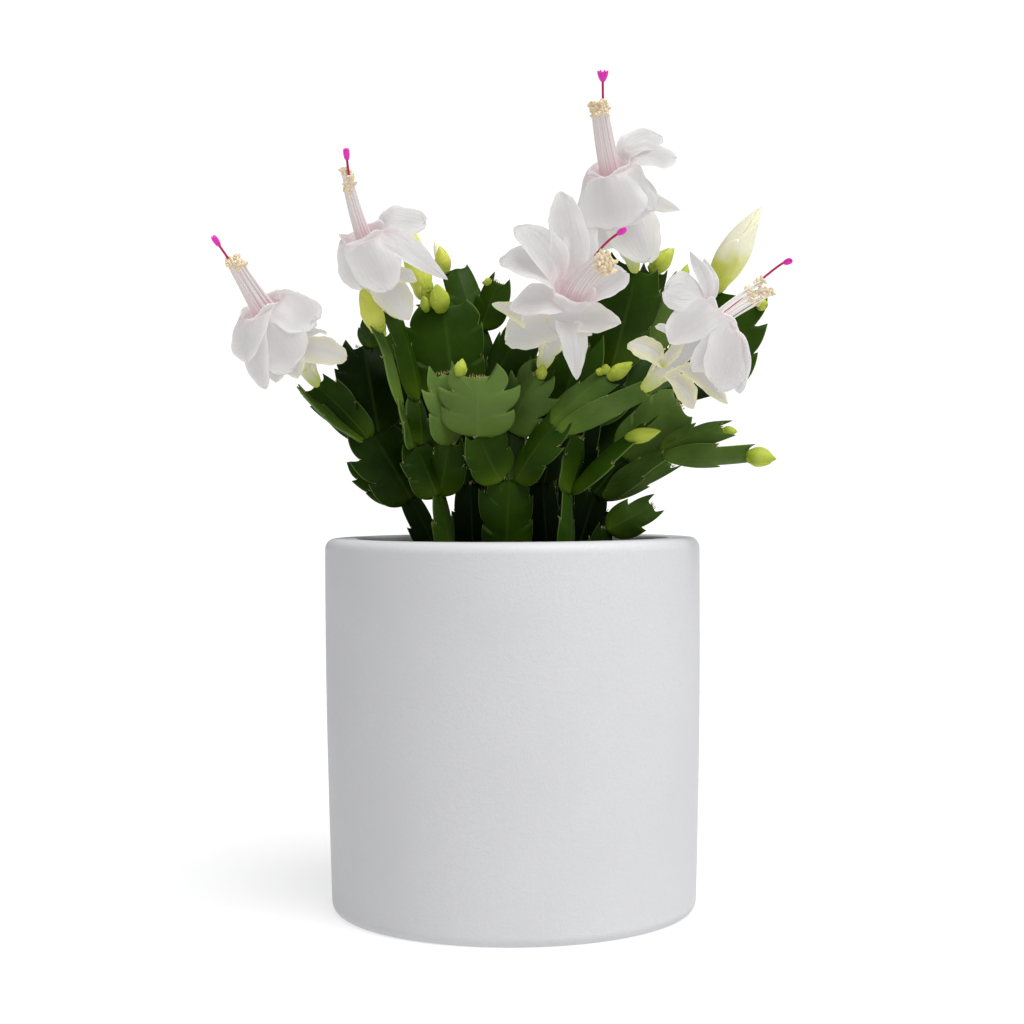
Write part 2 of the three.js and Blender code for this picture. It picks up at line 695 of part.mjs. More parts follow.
class Bloom {
  constructor(row) {
    this.mouth = sighted(...row.mouth);
    this.base = seatOn(row.pad, 0, this.mouth);
    this.axis = along(this.base, this.mouth);
    this.length = this.mouth.distanceTo(this.base);
    this.anthers = sighted(...row.anthers);
    this.stigma = sighted(...row.stigma);
    this.petals = row.petals;
  }

  tubeRadius(t) {
    const k = Math.max(1, TUBE_ROWS.findIndex(([u]) => u >= t));
    const [u0, r0] = TUBE_ROWS[k - 1];
    const [u1, r1] = TUBE_ROWS[k];
    return r0 + ((r1 - r0) * (t - u0)) / (u1 - u0);
  }

  station(t, radius) {
    const centre = this.base.clone().addScaledVector(this.axis, this.length * t);
    return { centre, direction: this.axis, radius };
  }

  petalSolid([leave, tipX, tipZ, tipY, width, arch, facing]) {
    const tip = sighted(tipX, tipZ, tipY);
    const root = this.station(leave * PETAL.leave, 0).centre;
    const outward = squareTo(tip.clone().sub(root), this.axis);
    const start = root.clone().addScaledVector(outward, this.tubeRadius(leave) - PETAL.sink);
    const reach = tip.distanceTo(start);
    const knee = start.clone()
      .addScaledVector(outward, reach * (PETAL.kneeOut + PETAL.kneeOutByArch * arch))
      .addScaledVector(this.axis, reach * (PETAL.kneeUp + PETAL.kneeUpByArch * arch));
    const natural = outward.clone().cross(this.axis).normalize();
    const seen = along(start, tip).cross(FRONT).normalize();
    seen.multiplyScalar(seen.dot(natural) < 0 ? -1 : 1);
    const across = natural.lerp(seen, facing).normalize();
    const points = [];
    for (const [u, share] of PETAL_ROWS) {
      const { point, direction } = bend(start, knee, tip, u);
      const upper = across.clone().cross(direction).normalize();
      const half = (width / 2) * share;
      for (const side of [-1, 0, 1]) {
        const thick = (side === 0 ? PETAL.middle : PETAL.edge) / 2;
        const rise = side * side * half * PETAL.cup;
        for (const lift of [thick, -thick]) {
          points.push(point.clone().addScaledVector(across, side * half).addScaledVector(upper, rise + lift));
        }
      }
    }
    const { point, direction } = bend(start, knee, tip, 1);
    const upper = across.clone().cross(direction).normalize();
    points.push(point.clone().addScaledVector(upper, PETAL.edge / 2));
    points.push(point.clone().addScaledVector(upper, -PETAL.edge / 2));
    return shell(points, petalFaces(PETAL_ROWS.length));
  }

  flowerSolid() {
    const outer = loft(TUBE_ROWS.map(([u, r]) => this.station(u, r)), TUBE.sides, FRONT);
    const throat = 1 - TUBE.throatDepth / this.length;
    const bore = loft(
      [this.station(throat, TUBE.throatRadius), this.station(TUBE.flare, TUBE.throatRadius * TUBE.flare)],
      TUBE.sides,
      FRONT,
    );
    return join([outer, ...this.petals.map((row) => this.petalSolid(row))]).subtract(bore);
  }

  // The bent line that the stamens and the style follow, from inside the throat
  columnAt(t) {
    const foot = this.station(1 - TUBE.throatDepth / this.length, 0).centre.addScaledVector(this.axis, GAP);
    const knee = foot.clone().addScaledVector(this.axis, this.anthers.distanceTo(foot) * STAMEN.knee);
    return bend(foot, knee, this.stigma, t);
  }

  stamenSolid() {
    const foot = this.columnAt(0);
    const plug = [
      { centre: foot.point, direction: this.axis, radius: STAMEN.plugFoot },
      { centre: this.columnAt(STAMEN.plugTop).point, direction: this.axis, radius: STAMEN.plug },
    ];
    const pieces = [loft(plug, TUBE.sides, FRONT)];
    const reach = this.stigma.distanceTo(foot.point);
    const endShare = this.anthers.distanceTo(foot.point) / reach;
    for (let k = 0; k < STAMEN.filaments; k += 1) {
      const angle = (2 * Math.PI * (k + 0.3 * draw(k + 7))) / STAMEN.filaments;
      const end = endShare * (STAMEN.reach[0] + STAMEN.reach[1] * draw(k + 31));
      const spread = STAMEN.spread * (STAMEN.apart[0] + STAMEN.apart[1] * draw(k + 57));
      const stations = FILAMENT_ROWS.map(([share, size]) => {
        const t = share * end;
        const { point, direction } = this.columnAt(t);
        const across = squareTo(FRONT, direction);
        const up = direction.clone().cross(across);
        const near = STAMEN.root + (spread - STAMEN.root) * share ** 2;
        const waist = near * (1 - STAMEN.waist * Math.sin(Math.PI * share));
        point.addScaledVector(across, waist * Math.cos(angle)).addScaledVector(up, waist * Math.sin(angle));
        return { centre: point, direction, radius: STAMEN.thick * size };
      });
      pieces.push(loft(stations, STAMEN.sides, FRONT));
    }
    return join(pieces);
  }

  pistilSolid() {
    const start = STAMEN.plugTop + GAP / this.stigma.distanceTo(this.columnAt(0).point);
    const stations = [start, STYLE.end / 2, STYLE.end].map((t) => {
      const { point, direction } = this.columnAt(t);
      return { centre: point, direction, radius: STYLE.radius };
    });
    const { point, direction } = this.columnAt(STYLE.stigmaFrom);
    const lobes = STIGMA_ROWS.map(([step, radius]) => ({
      centre: point.clone().addScaledVector(direction, step),
      direction,
      radius,
    }));
    return join([loft(stations, STYLE.sides, FRONT), loft(lobes, STYLE.stigmaSides, FRONT)]);
  }
}

// The faces of a petal: rows of six points, left, middle and right, upper and lower, and two at the tip
function petalFaces(rows) {
  const faces = [[0, 1, 3, 2], [2, 3, 5, 4]];
  for (let row = 0; row < rows - 1; row += 1) {
    const a = row * 6;
    const b = a + 6;
    faces.push([a, a + 2, b + 2, b], [a + 2, a + 4, b + 4, b + 2]);
    faces.push([a + 1, b + 1, b + 3], [a + 1, b + 3, a + 3], [a + 3, b + 3, b + 5], [a + 3, b + 5, a + 5]);
    faces.push([a, b, b + 1, a + 1], [a + 4, a + 5, b + 5, b + 4]);
  }
  const a = (rows - 1) * 6;
  const tip = rows * 6;
  faces.push([a, a + 2, tip], [a + 2, a + 4, tip], [a + 1, tip + 1, a + 3], [a + 3, tip + 1, a + 5]);
  faces.push([a, tip, tip + 1, a + 1], [a + 4, a + 5, tip + 1, tip]);
  return faces;
}

// The whole plant in its pot

const plant = new THREE.Group();

function place(name, solid, material) {
  const mesh = new THREE.Mesh(toGeometry(solid), material);
  mesh.name = name;
  plant.add(mesh);
}

place('pot', potSolid(), MATERIALS.glaze);
place('soil', soilSolid(), MATERIALS.soil);
for (const [name, stem] of Object.entries(STEMS)) {
  place(name, stemSolid(stem), MATERIALS.pad);
}
for (const [name, pad, seat, tipX, tipZ, tipY, radius] of BUDS) {
  const tip = sighted(tipX, tipZ, tipY);
  place(name, budSolid(seatOn(pad, seat, tip), tip, radius, BUD_SIDES.large), MATERIALS.bud);
}
for (const [name, row] of Object.entries(BLOOMS)) {
  const bloom = new Bloom(row);
  place(`${name}_petals`, bloom.flowerSolid(), MATERIALS.petal);
  place(`${name}_stamens`, bloom.stamenSolid(), MATERIALS.stamen);
  place(`${name}_pistil`, bloom.pistilSolid(), MATERIALS.pistil);
}

export default plant;
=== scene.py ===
"""A Christmas cactus in bloom in a plain round pot: its looks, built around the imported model.

Sizes are millimetres until a mesh is written, and the origin is the centre of the pot's underside.
The front of the plant is towards -Y.
"""

import logging
import math
from collections.abc import Callable
from dataclasses import dataclass
from enum import Enum
from typing import NamedTuple

import bpy
import numpy as np
from mathutils import Matrix, Vector


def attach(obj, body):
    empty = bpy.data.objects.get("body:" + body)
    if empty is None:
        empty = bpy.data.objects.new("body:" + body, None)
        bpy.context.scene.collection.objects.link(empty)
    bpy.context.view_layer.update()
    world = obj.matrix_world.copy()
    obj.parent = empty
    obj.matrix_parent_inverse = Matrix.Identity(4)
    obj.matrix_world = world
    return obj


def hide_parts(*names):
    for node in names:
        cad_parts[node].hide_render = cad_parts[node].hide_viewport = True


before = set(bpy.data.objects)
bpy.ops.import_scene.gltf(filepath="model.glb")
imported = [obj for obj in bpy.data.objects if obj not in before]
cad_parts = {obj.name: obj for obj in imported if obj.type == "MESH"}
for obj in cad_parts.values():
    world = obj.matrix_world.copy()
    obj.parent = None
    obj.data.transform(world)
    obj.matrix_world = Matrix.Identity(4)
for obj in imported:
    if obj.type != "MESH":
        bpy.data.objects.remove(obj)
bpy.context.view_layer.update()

log = logging.getLogger("christmas_cactus")

Array = np.ndarray
Piece = bpy.types.Object
Mesh = bpy.types.Mesh
Material = bpy.types.Material
Socket = bpy.types.NodeSocket
Colour = tuple[float, float, float]

MM = 0.001
BODY = "root"
GOLDEN_ANGLE = math.radians(137.5)
DOUBLES = 1e-6
SHARP_ANGLE = math.radians(50)
DRAW_STEP = 12.9898
DRAW_SCALE = 43758.5453


class Slot(Enum):
    """The record's material slots."""

    POT = "pot"
    SOIL = "soil"
    PAD = "pad"
    BUD = "bud"
    PETAL = "petal"
    STAMEN = "stamen"
    PISTIL = "pistil"


# Small numeric helpers


def draw(k: float) -> float:
    """A repeatable draw between 0 and 1 for the k-th of a kind."""
    wave = math.sin(k * DRAW_STEP) * DRAW_SCALE
    return wave - math.floor(wave)


def clamped(value: float) -> float:
    """The value, kept between 0 and 1."""
    return min(1.0, max(0.0, value))


def unit(vector: Array) -> Array:
    """The vector, or each row of vectors, at length one."""
    return vector / np.linalg.norm(vector, axis=-1, keepdims=True)


def square_to(vector: Array, axis: Array) -> Array:
    """The part of a vector that is square to an axis, at length one."""
    return unit(vector - axis * np.dot(vector, axis))


def turned(vector: Array, axis: Array, angle: Array | float) -> Array:
    """A vector that is square to an axis, turned about it.

    Args:
        vector: The vector to turn.
        axis: The axis, at length one.
        angle: The angle in radians, or one for each row that is wanted.

    Returns:
        The turned vector, or one row for each angle.
    """
    angle = np.asarray(angle)[..., None]
    return vector * np.cos(angle) + np.cross(axis, vector) * np.sin(angle)


def around(first: Array, second: Array, angle: Array) -> Array:
    """Directions at angles from the first of two directions, square to each other, towards the second."""
    return first * np.cos(angle)[:, None] + second * np.sin(angle)[:, None]


def smooth_curve(knots: list[tuple[float, ...]], t: Array) -> Array:
    """A rounded curve through knots.

    Args:
        knots: Rows whose first number is the place of the knot and whose others are its values.
        t: The places that are wanted.

    Returns:
        The values at each place, one column for each value.
    """
    table = np.array(knots, float)
    place, value = table[:, 0], table[:, 1:]
    slope = np.gradient(value, place, axis=0)
    k = np.clip(np.searchsorted(place, t, side="right") - 1, 0, len(place) - 2)
    span = (place[k + 1] - place[k])[:, None]
    s = (t[:, None] - place[k][:, None]) / span
    start = (1 + 2 * s) * (1 - s) ** 2 * value[k] + s * (1 - s) ** 2 * span * slope[k]
    return start + s * s * (3 - 2 * s) * value[k + 1] + s * s * (s - 1) * span * slope[k + 1]


# The layout below is written as it is seen from one viewpoint in front of the pot


@dataclass(frozen=True)
class Eye:
    """The viewpoint: how far in front of the pot's axis, how high, and how far to the side it looks."""

    distance: float = 735.5
    height: float = 166.3
    side: float = 1.0
    roll: float = 0.00521
    lens: float = 64.65
    horizon_row: float = 488.17
    image_size: float = 1024.0

    def sighted(self, x: float, z: float, y: float) -> Array:
        """The point at depth y that is seen at x and z on the upright plane through the pot's axis."""
        reach = 1 + y / self.distance
        return np.array([(x + self.side) * reach, y, self.height + (z - self.height) * reach])


EYE = Eye()
FRONT = unit(np.array([0.0, -1.0, 0.25]))

# A direction that no thread runs along
ASKEW = np.array([0.31, 0.17, 0.93])


# Meshes


def deselect() -> None:
    """Leaves nothing selected, so that an operator acts only on what it is given."""
    bpy.ops.object.select_all(action="DESELECT")


def pick(piece: Piece) -> None:
    """Makes one piece the only selected and the active one.

    Args:
        piece: The piece.
    """
    deselect()
    piece.select_set(True)
    bpy.context.view_layer.objects.active = piece


def points_of(mesh: Mesh) -> Array:
    """The vertex places of a mesh, one row each.

    Args:
        mesh: The mesh.

    Returns:
        The places, in the mesh's own unit.
    """
    flat = np.empty(len(mesh.vertices) * 3)
    mesh.vertices.foreach_get("co", flat)
    return flat.reshape(-1, 3)


def set_points(mesh: Mesh, points: Array) -> None:
    """Moves the vertices of a mesh to places given in millimetres."""
    mesh.vertices.foreach_set("co", (points * MM).ravel())
    mesh.update()


def set_marks(mesh: Mesh, name: str, values: Array) -> None:
    """Stores one number, or one row of three, for each vertex, for the finish to read.

    Args:
        mesh: The mesh.
        name: The name of the mark.
        values: The numbers, or the rows.
    """
    kind = "FLOAT" if values.ndim == 1 else "FLOAT_VECTOR"
    entry = "value" if values.ndim == 1 else "vector"
    attribute = mesh.attributes.get(name) or mesh.attributes.new(name, kind, "POINT")
    attribute.data.foreach_set(entry, np.ascontiguousarray(values, np.float32).ravel())


def new_piece(name: str, points: Array, edges: list, faces: list) -> Piece:
    """A piece out of points in millimetres and its edges or faces. It is left selected and active.

    Args:
        name: Its name.
        points: One row for each point.
        edges: Pairs of point numbers.
        faces: Lists of point numbers.

    Returns:
        The piece.
    """
    mesh = bpy.data.meshes.new(name)
    mesh.from_pydata((points * MM).tolist(), edges, faces)
    piece = bpy.data.objects.new(name, mesh)
    bpy.context.scene.collection.objects.link(piece)
    pick(piece)
    return piece


def new_primitive(operator: Callable, **settings: object) -> Piece:
    """What one of Blender's operators for simple meshes makes, left selected and active.

    Args:
        operator: The operator.
        settings: What it is called with.

    Returns:
        The piece.
    """
    deselect()
    operator(**settings)
    return bpy.context.active_object


def joined(name: str, parts: list[Piece]) -> Piece:
    """Joins parts into one smooth piece with a name.

    Args:
        name: Its name.
        parts: The parts.

    Returns:
        The piece.
    """
    deselect()
    for part in parts:
        part.select_set(True)
    bpy.context.view_layer.objects.active = parts[0]
    if len(parts) > 1:
        bpy.ops.object.join()
    piece = parts[0]
    piece.name = name
    piece.data.name = name
    bpy.ops.object.shade_smooth()
    return piece


def finish_piece(piece: Piece, finish: Material, slot: Slot, *nodes: str) -> None:
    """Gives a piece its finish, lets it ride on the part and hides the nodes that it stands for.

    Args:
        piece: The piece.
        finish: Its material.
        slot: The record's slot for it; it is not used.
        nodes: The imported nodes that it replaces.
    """
    piece.data.materials.clear()
    piece.data.materials.append(finish)
    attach(piece, BODY)
    if nodes:
        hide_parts(*nodes)
    triangles = sum(len(face.vertices) - 2 for face in piece.data.polygons)
    log.info("%s: %d triangles", piece.name, triangles)


class Blade:
    """A closed leaf-like form that is modelled once and copied: a ball whose rings run along the leaf.

    Each of its points knows its station along the leaf, from 0 at the foot to 1 at the tip, its place
    across it, from -1 to 1, and how far it stands out of the leaf's middle surface, from -1 to 1.
    """

    def __init__(self, name: str, sides: int, rings: int, fullness: float) -> None:
        """Models the ball.

        Args:
            name: The name of the master.
            sides: The number of points in a ring.
            rings: The number of steps from the foot to the tip.
            fullness: How blunt the margin is: the smaller, the blunter.
        """
        ball = {"segments": sides, "ring_count": rings, "radius": 1}
        self.master = new_primitive(bpy.ops.mesh.primitive_uv_sphere_add, **ball)
        self.master.name = name
        self.rings = rings
        x, y, z = points_of(self.master.data).T
        self.station = np.rint(np.arccos(np.clip(z, -1, 1)) / math.pi * rings).astype(int)
        self.angle = np.arctan2(y, x)
        pole = (self.station == 0) | (self.station == rings)
        height = np.sin(self.angle)
        self.across = np.where(pole, 0, np.cos(self.angle))
        self.out = np.where(pole, 0, np.sign(height) * np.abs(height) ** fullness)

    def copy(self, points: Array, leaf: Array, tone: float) -> Piece:
        """A copy with its own mesh and its own shape.

        Args:
            points: Its vertex places in millimetres.
            leaf: For each vertex its place along, across and towards the margin, for the finish.
            tone: A number between 0 and 1 that sets its colour apart from its neighbours'.

        Returns:
            The copy.
        """
        mesh = self.master.data.copy()
        blade = bpy.data.objects.new(self.master.name, mesh)
        bpy.context.scene.collection.objects.link(blade)
        set_points(mesh, points)
        set_marks(mesh, "leaf", leaf)
        set_marks(mesh, "tone", np.full(len(points), tone))
        return blade

    def clear(self) -> None:
        """Removes the master once its copies are made."""
        bpy.data.objects.remove(self.master)


def scatter(name: str, master: Piece, places: list[Array], tones: list[float]) -> Piece:
    """One piece out of many small copies of a master, which is then removed.

    Args:
        name: The name of the piece.
        master: The small shape, modelled at the origin in millimetres.
        places: A 3 by 4 matrix for each copy.
        tones: A number between 0 and 1 for each copy.

    Returns:
        The piece.
    """
    shape = points_of(master.data)
    faces = [list(face.vertices) for face in master.data.polygons]
    bpy.data.objects.remove(master)
    rows = [shape @ place[:, :3].T + place[:, 3] for place in places]
    loops = [[v + k * len(shape) for v in face] for k in range(len(places)) for face in faces]
    piece = new_piece(name, np.concatenate(rows), [], loops)
    set_marks(piece.data, "tone", np.repeat(np.array(tones), len(shape)))
    bpy.ops.object.shade_smooth()
    return piece


def placed(centre: Array, along: Array, size: Array | tuple, spin: float = 0.0) -> Array:
    """The matrix that gives a small shape, modelled along Z, its centre, its direction and its size.

    Args:
        centre: Its centre.
        along: The direction that its Z turns to, at length one.
        size: How many times larger it is along its X, Y and Z.
        spin: How far it is turned about its own Z, in radians.

    Returns:
        The matrix, 3 by 4.
    """
    hint = FRONT if abs(np.dot(FRONT, along)) < 0.95 else np.array([1.0, 0.0, 0.0])
    side = turned(square_to(hint, along), along, spin)
    columns = [side * size[0], np.cross(along, side) * size[1], along * size[2], centre]
    return np.stack(columns, axis=1)


def threads(name: str, paths: Array, radii: Array, sides: int) -> Piece:
    """Thin round threads with closed ends, in one piece.

    Args:
        name: The name of the piece.
        paths: The points of each thread, from its foot to its end.
        radii: The radius at each point.
        sides: The number of sides of a thread.

    Returns:
        The piece, with the mark "along" from 0 at the feet to 1 at the ends.
    """
    count, rows, _ = paths.shape
    ahead = unit(np.gradient(paths, axis=1))
    side = unit(np.cross(ahead, ASKEW))
    up = np.cross(ahead, side)
    angle = np.linspace(0, math.tau, sides, endpoint=False)
    ring = around(side[:, :, None], up[:, :, None], angle)
    points = paths[:, :, None] + ring * radii[:, :, None, None]
    faces = []
    for k in range(count):
        start = k * rows * sides
        faces.append([start + s for s in reversed(range(sides))])
        faces.append([start + (rows - 1) * sides + s for s in range(sides)])
        for r in range(rows - 1):
            for s in range(sides):
                a = start + r * sides + s
                b = start + r * sides + (s + 1) % sides
                faces.append([a, b, b + sides, a + sides])
    piece = new_piece(name, points.reshape(-1, 3), [], faces)
    set_marks(piece.data, "along", np.tile(np.repeat(np.linspace(0, 1, rows), sides), count))
    bpy.ops.object.shade_smooth()
    return piece


def spun(name: str, profile: list[tuple[float, float]], steps: int) -> Piece:
    """A closed form turned about Z from a profile that starts and ends on the axis.

    Args:
        name: The name of the piece.
        profile: Radius and height of each point, from the bottom of the axis round the outside.
        steps: The number of steps round.

    Returns:
        The piece.
    """
    edges = [(k, k + 1) for k in range(len(profile) - 1)]
    piece = new_piece(name, np.array([(r, 0, z) for r, z in profile]), edges, [])
    bpy.ops.object.mode_set(mode="EDIT")
    bpy.ops.mesh.select_all(action="SELECT")
    bpy.ops.mesh.spin(steps=steps, angle=math.tau, center=(0, 0, 0), axis=(0, 0, 1))
    bpy.ops.mesh.select_all(action="SELECT")
    bpy.ops.mesh.remove_doubles(threshold=DOUBLES)
    bpy.ops.mesh.normals_make_consistent(inside=False)
    bpy.ops.object.mode_set(mode="OBJECT")
    bpy.ops.object.shade_smooth_by_angle(angle=SHARP_ANGLE)
    return piece


# Finishes


class Graph:
    """The node tree of one material, with short calls that add and join its nodes.

    Scales of noise are in features to the metre, and depths of bumps are in millimetres.
    """

    def __init__(self, name: str) -> None:
        """Starts an empty material.

        Args:
            name: The material's name.
        """
        self.material = bpy.data.materials.new(name)
        self.material.use_nodes = True
        self.tree = self.material.node_tree
        self.tree.nodes.clear()

    def add(self, kind: str, inputs: dict | None = None, **settings: object) -> bpy.types.Node:
        """Adds a node.

        Args:
            kind: The node's type.
            inputs: Its inputs by name or number, each a value, a colour or another node's output.
            settings: Its properties.

        Returns:
            The node.
        """
        node = self.tree.nodes.new(kind)
        for key, value in settings.items():
            setattr(node, key, value)
        for key, value in (inputs or {}).items():
            if isinstance(value, Socket):
                self.tree.links.new(value, node.inputs[key])
            elif node.inputs[key].type == "RGBA" and len(value) == 3:
                node.inputs[key].default_value = (*value, 1)
            else:
                node.inputs[key].default_value = value
        return node

    def place(self) -> Socket:
        """The place on the object, in metres."""
        return self.add("ShaderNodeTexCoord").outputs["Object"]

    def mark(self, name: str) -> Socket:
        """A number stored on the piece."""
        return self.add("ShaderNodeAttribute", attribute_name=name).outputs["Fac"]

    def split(self, vector: Socket) -> list[Socket]:
        """The three numbers of a vector."""
        return list(self.add("ShaderNodeSeparateXYZ", {0: vector}).outputs)

    def marks(self, name: str) -> list[Socket]:
        """The three numbers of a row stored on the piece."""
        return self.split(self.add("ShaderNodeAttribute", attribute_name=name).outputs["Vector"])

    def noise(self, vector: Socket, scale: float, detail: float = 2.0) -> Socket:
        """Cloudy noise between 0 and 1."""
        inputs = {"Vector": vector, "Scale": scale, "Detail": detail}
        return self.add("ShaderNodeTexNoise", inputs).outputs["Fac"]

    def streaks(
        self, along: tuple, across: tuple, tone: Socket, scale: float, detail: float = 2.0
    ) -> Socket:
        """Noise that is stretched on a leaf and unlike on each.

        Args:
            along: The place along the leaf, and how many times the noise is stretched there.
            across: The same across it.
            tone: The leaf's own number.
            scale: The noise's scale.
            detail: The noise's detail.

        Returns:
            The noise's output.
        """
        inputs = {0: self.times(*along), 1: self.times(*across), 2: tone}
        return self.noise(self.add("ShaderNodeCombineXYZ", inputs).outputs[0], scale, detail)

    def math(self, operation: str, a: object, b: object = 0.0, c: object = 0.0) -> Socket:
        """The result of one calculation."""
        return self.add("ShaderNodeMath", {0: a, 1: b, 2: c}, operation=operation).outputs[0]

    def times(self, a: object, b: object) -> Socket:
        """The product of two numbers."""
        return self.math("MULTIPLY", a, b)

    def plus(self, a: object, b: object) -> Socket:
        """The sum of two numbers."""
        return self.math("ADD", a, b)

    def swing(self, noise: object, share: float) -> Socket:
        """Noise about 0, at a share of its strength."""
        return self.times(self.math("SUBTRACT", noise, 0.5), share)

    def ease(self, value: object, low: float, high: float) -> Socket:
        """0 below low, 1 above high and smooth between; high may be the smaller one."""
        inputs = {"Value": value, "From Min": low, "From Max": high}
        return self.add("ShaderNodeMapRange", inputs, interpolation_type="SMOOTHSTEP").outputs[0]

    def mix(self, share: object, a: object, b: object, blend: str = "MIX") -> Socket:
        """A colour between two, or two colours blended another way."""
        settings = {"data_type": "RGBA", "blend_type": blend, "clamp_factor": True}
        return self.add("ShaderNodeMix", {0: share, 6: a, 7: b}, **settings).outputs[2]

    def bump(self, height: object, depth: float, under: object = None) -> Socket:
        """A bumpy normal of a depth, on top of another normal.

        Args:
            height: Heights between 0 and 1.
            depth: How deep the bumps are.
            under: The normal under them, if there is one.

        Returns:
            The normal.
        """
        inputs = {"Height": height, "Distance": depth * MM, "Strength": 1.0}
        if under is not None:
            inputs["Normal"] = under
        return self.add("ShaderNodeBump", inputs).outputs[0]

    def surface(self, colour: object, rough: object, **others: object) -> Material:
        """Ends the tree in one shader.

        Args:
            colour: Its colour.
            rough: Its roughness.
            others: Other inputs that SOCKETS names. Without a glow_colour it glows in its own colour.

        Returns:
            The material.
        """
        if "glow" in others:
            others.setdefault("glow_colour", colour)
        inputs = {SOCKETS[key]: value for key, value in others.items()}
        inputs |= {"Base Color": colour, "Roughness": rough}
        shader = self.add("ShaderNodeBsdfPrincipled", inputs)
        self.add("ShaderNodeOutputMaterial", {0: shader.outputs[0]})
        return self.material


# The shader's inputs by the short names that the finishes give them
SOCKETS = {
    "normal": "Normal",
    "specular": "Specular IOR Level",
    "ior": "IOR",
    "glow": "Emission Strength",
    "glow_colour": "Emission Color",
    "soft": "Subsurface Weight",
    "soft_radius": "Subsurface Radius",
    "soft_scale": "Subsurface Scale",
}


@dataclass(frozen=True)
class GlazeFinish:
    """The pot's matt white glaze with a fine grain, darker on the inside of the wall below the rim."""

    white: Colour = (0.6, 0.6, 0.605)
    shade: Colour = (0.565, 0.565, 0.58)
    dark_inside: Colour = (0.075, 0.065, 0.035)
    dark_inside_radius: float = 62.3
    dark_inside_top: float = 145.2
    dark_inside_full: float = 142.0
    cloud_scale: float = 14.0
    grain_scale: float = 1300.0
    grain_depth: float = 0.09
    pit_scale: float = 420.0
    pit_depth: float = 0.1
    rough: float = 0.46
    rough_spread: float = 0.12

    def material(self) -> Material:
        """Makes the material.

        Returns:
            The material.
        """
        g = Graph("matt_white_glaze")
        place = g.place()
        clouds = g.noise(place, self.cloud_scale, 4.0)
        grain = g.noise(place, self.grain_scale)
        pits = g.noise(place, self.pit_scale, 3.0)
        colour = g.mix(g.ease(clouds, 0.35, 0.7), self.white, self.shade)
        colour = g.mix(g.ease(grain, 0.3, 0.8), colour, self.shade)
        flat = g.add("ShaderNodeVectorMath", {0: place, 1: (1, 1, 0)}, operation="MULTIPLY").outputs[0]
        radius = g.add("ShaderNodeVectorMath", {0: flat}, operation="LENGTH").outputs["Value"]
        # Inside the wall and below the rim, the glaze turns dark brown-grey
        within = g.math("LESS_THAN", radius, self.dark_inside_radius * MM)
        low = g.ease(g.split(place)[2], self.dark_inside_top * MM, self.dark_inside_full * MM)
        colour = g.mix(g.times(within, low), colour, self.dark_inside)
        normal = g.bump(pits, self.pit_depth, g.bump(grain, self.grain_depth))
        rough = g.math("MULTIPLY_ADD", clouds, self.rough_spread, self.rough)
        return g.surface(colour, rough, normal=normal, specular=0.35)


@dataclass(frozen=True)
class SoilFinish:
    """Loose dark potting soil. The mark "tone" sets the crumbs apart."""

    dark: Colour = (0.018, 0.012, 0.008)
    brown: Colour = (0.085, 0.05, 0.03)
    tone_share: float = 0.7
    fine_share: float = 0.5
    fine_scale: float = 900.0
    fine_depth: float = 0.5
    lump_scale: float = 260.0
    lump_depth: float = 0.8

    def material(self) -> Material:
        """Makes the material.

        Returns:
            The material.
        """
        g = Graph("potting_soil")
        place = g.place()
        fine = g.noise(place, self.fine_scale, 4.0)
        lumps = g.noise(place, self.lump_scale, 3.0)
        share = g.plus(g.times(g.mark("tone"), self.tone_share), g.times(fine, self.fine_share))
        colour = g.mix(g.ease(share, 0.2, 1.1), self.dark, self.brown)
        normal = g.bump(fine, self.fine_depth, g.bump(lumps, self.lump_depth))
        return g.surface(colour, 0.95, normal=normal, specular=0.2)


@dataclass(frozen=True)
class SkinFinish:
    """The segments' skin, lighter with the mark "tone": its deep green is painted shade, its lightest a
    painted sheen.
    """

    # The deep green is painted shade, and the lightest green is a painted sheen on segments that face the
    # light
    deep: Colour = (0.0025, 0.0095, 0.0004)
    mid: Colour = (0.024, 0.06, 0.0022)
    painted_sheen: Colour = (0.105, 0.17, 0.038)
    bright: Colour = (0.11, 0.19, 0.006)
    margin: Colour = (0.17, 0.28, 0.06)
    mottle_scale: float = 95.0
    mottle_share: float = 0.35
    young_share: float = 0.3
    rib_share: float = 0.1
    rib_depth: float = 0.16
    margin_share: float = 0.5
    fine_scale: float = 1400.0
    fine_depth: float = 0.035
    dent_scale: float = 210.0
    dent_depth: float = 0.14
    gloss_scale: float = 160.0
    rough: float = 0.36
    rough_spread: float = 0.16

    def material(self) -> Material:
        """Makes the material.

        Returns:
            The material.
        """
        g = Graph("segment_skin")
        place = g.place()
        along, across, edge = g.marks("leaf")
        tone = g.mark("tone")
        share = g.plus(tone, g.swing(g.noise(place, self.mottle_scale, 3.0), self.mottle_share))
        # Low tones give the painted shade, high tones the painted sheen
        green = g.mix(g.ease(share, 0.0, 0.6), self.deep, self.mid)
        green = g.mix(g.ease(share, 0.5, 1.05), green, self.painted_sheen)
        young = g.times(g.ease(along, 0.4, 0.02), g.times(g.ease(tone, 0.0, 0.45), self.young_share))
        green = g.mix(young, green, self.bright)
        rib = g.times(g.ease(g.math("ABSOLUTE", across), 0.09, 0.0), g.ease(along, 1.0, 0.3))
        green = g.mix(g.times(rib, self.rib_share), green, self.margin)
        green = g.mix(g.times(g.ease(edge, 0.965, 1.0), self.margin_share), green, self.margin)
        dents = g.bump(g.noise(place, self.dent_scale), self.dent_depth)
        fine = g.bump(g.noise(place, self.fine_scale), self.fine_depth, dents)
        gloss = g.ease(g.noise(place, self.gloss_scale), 0.2, 0.9)
        rough = g.math("MULTIPLY_ADD", gloss, self.rough_spread, self.rough)
        return g.surface(green, rough, normal=g.bump(rib, self.rib_depth, fine), specular=0.14, ior=1.3)


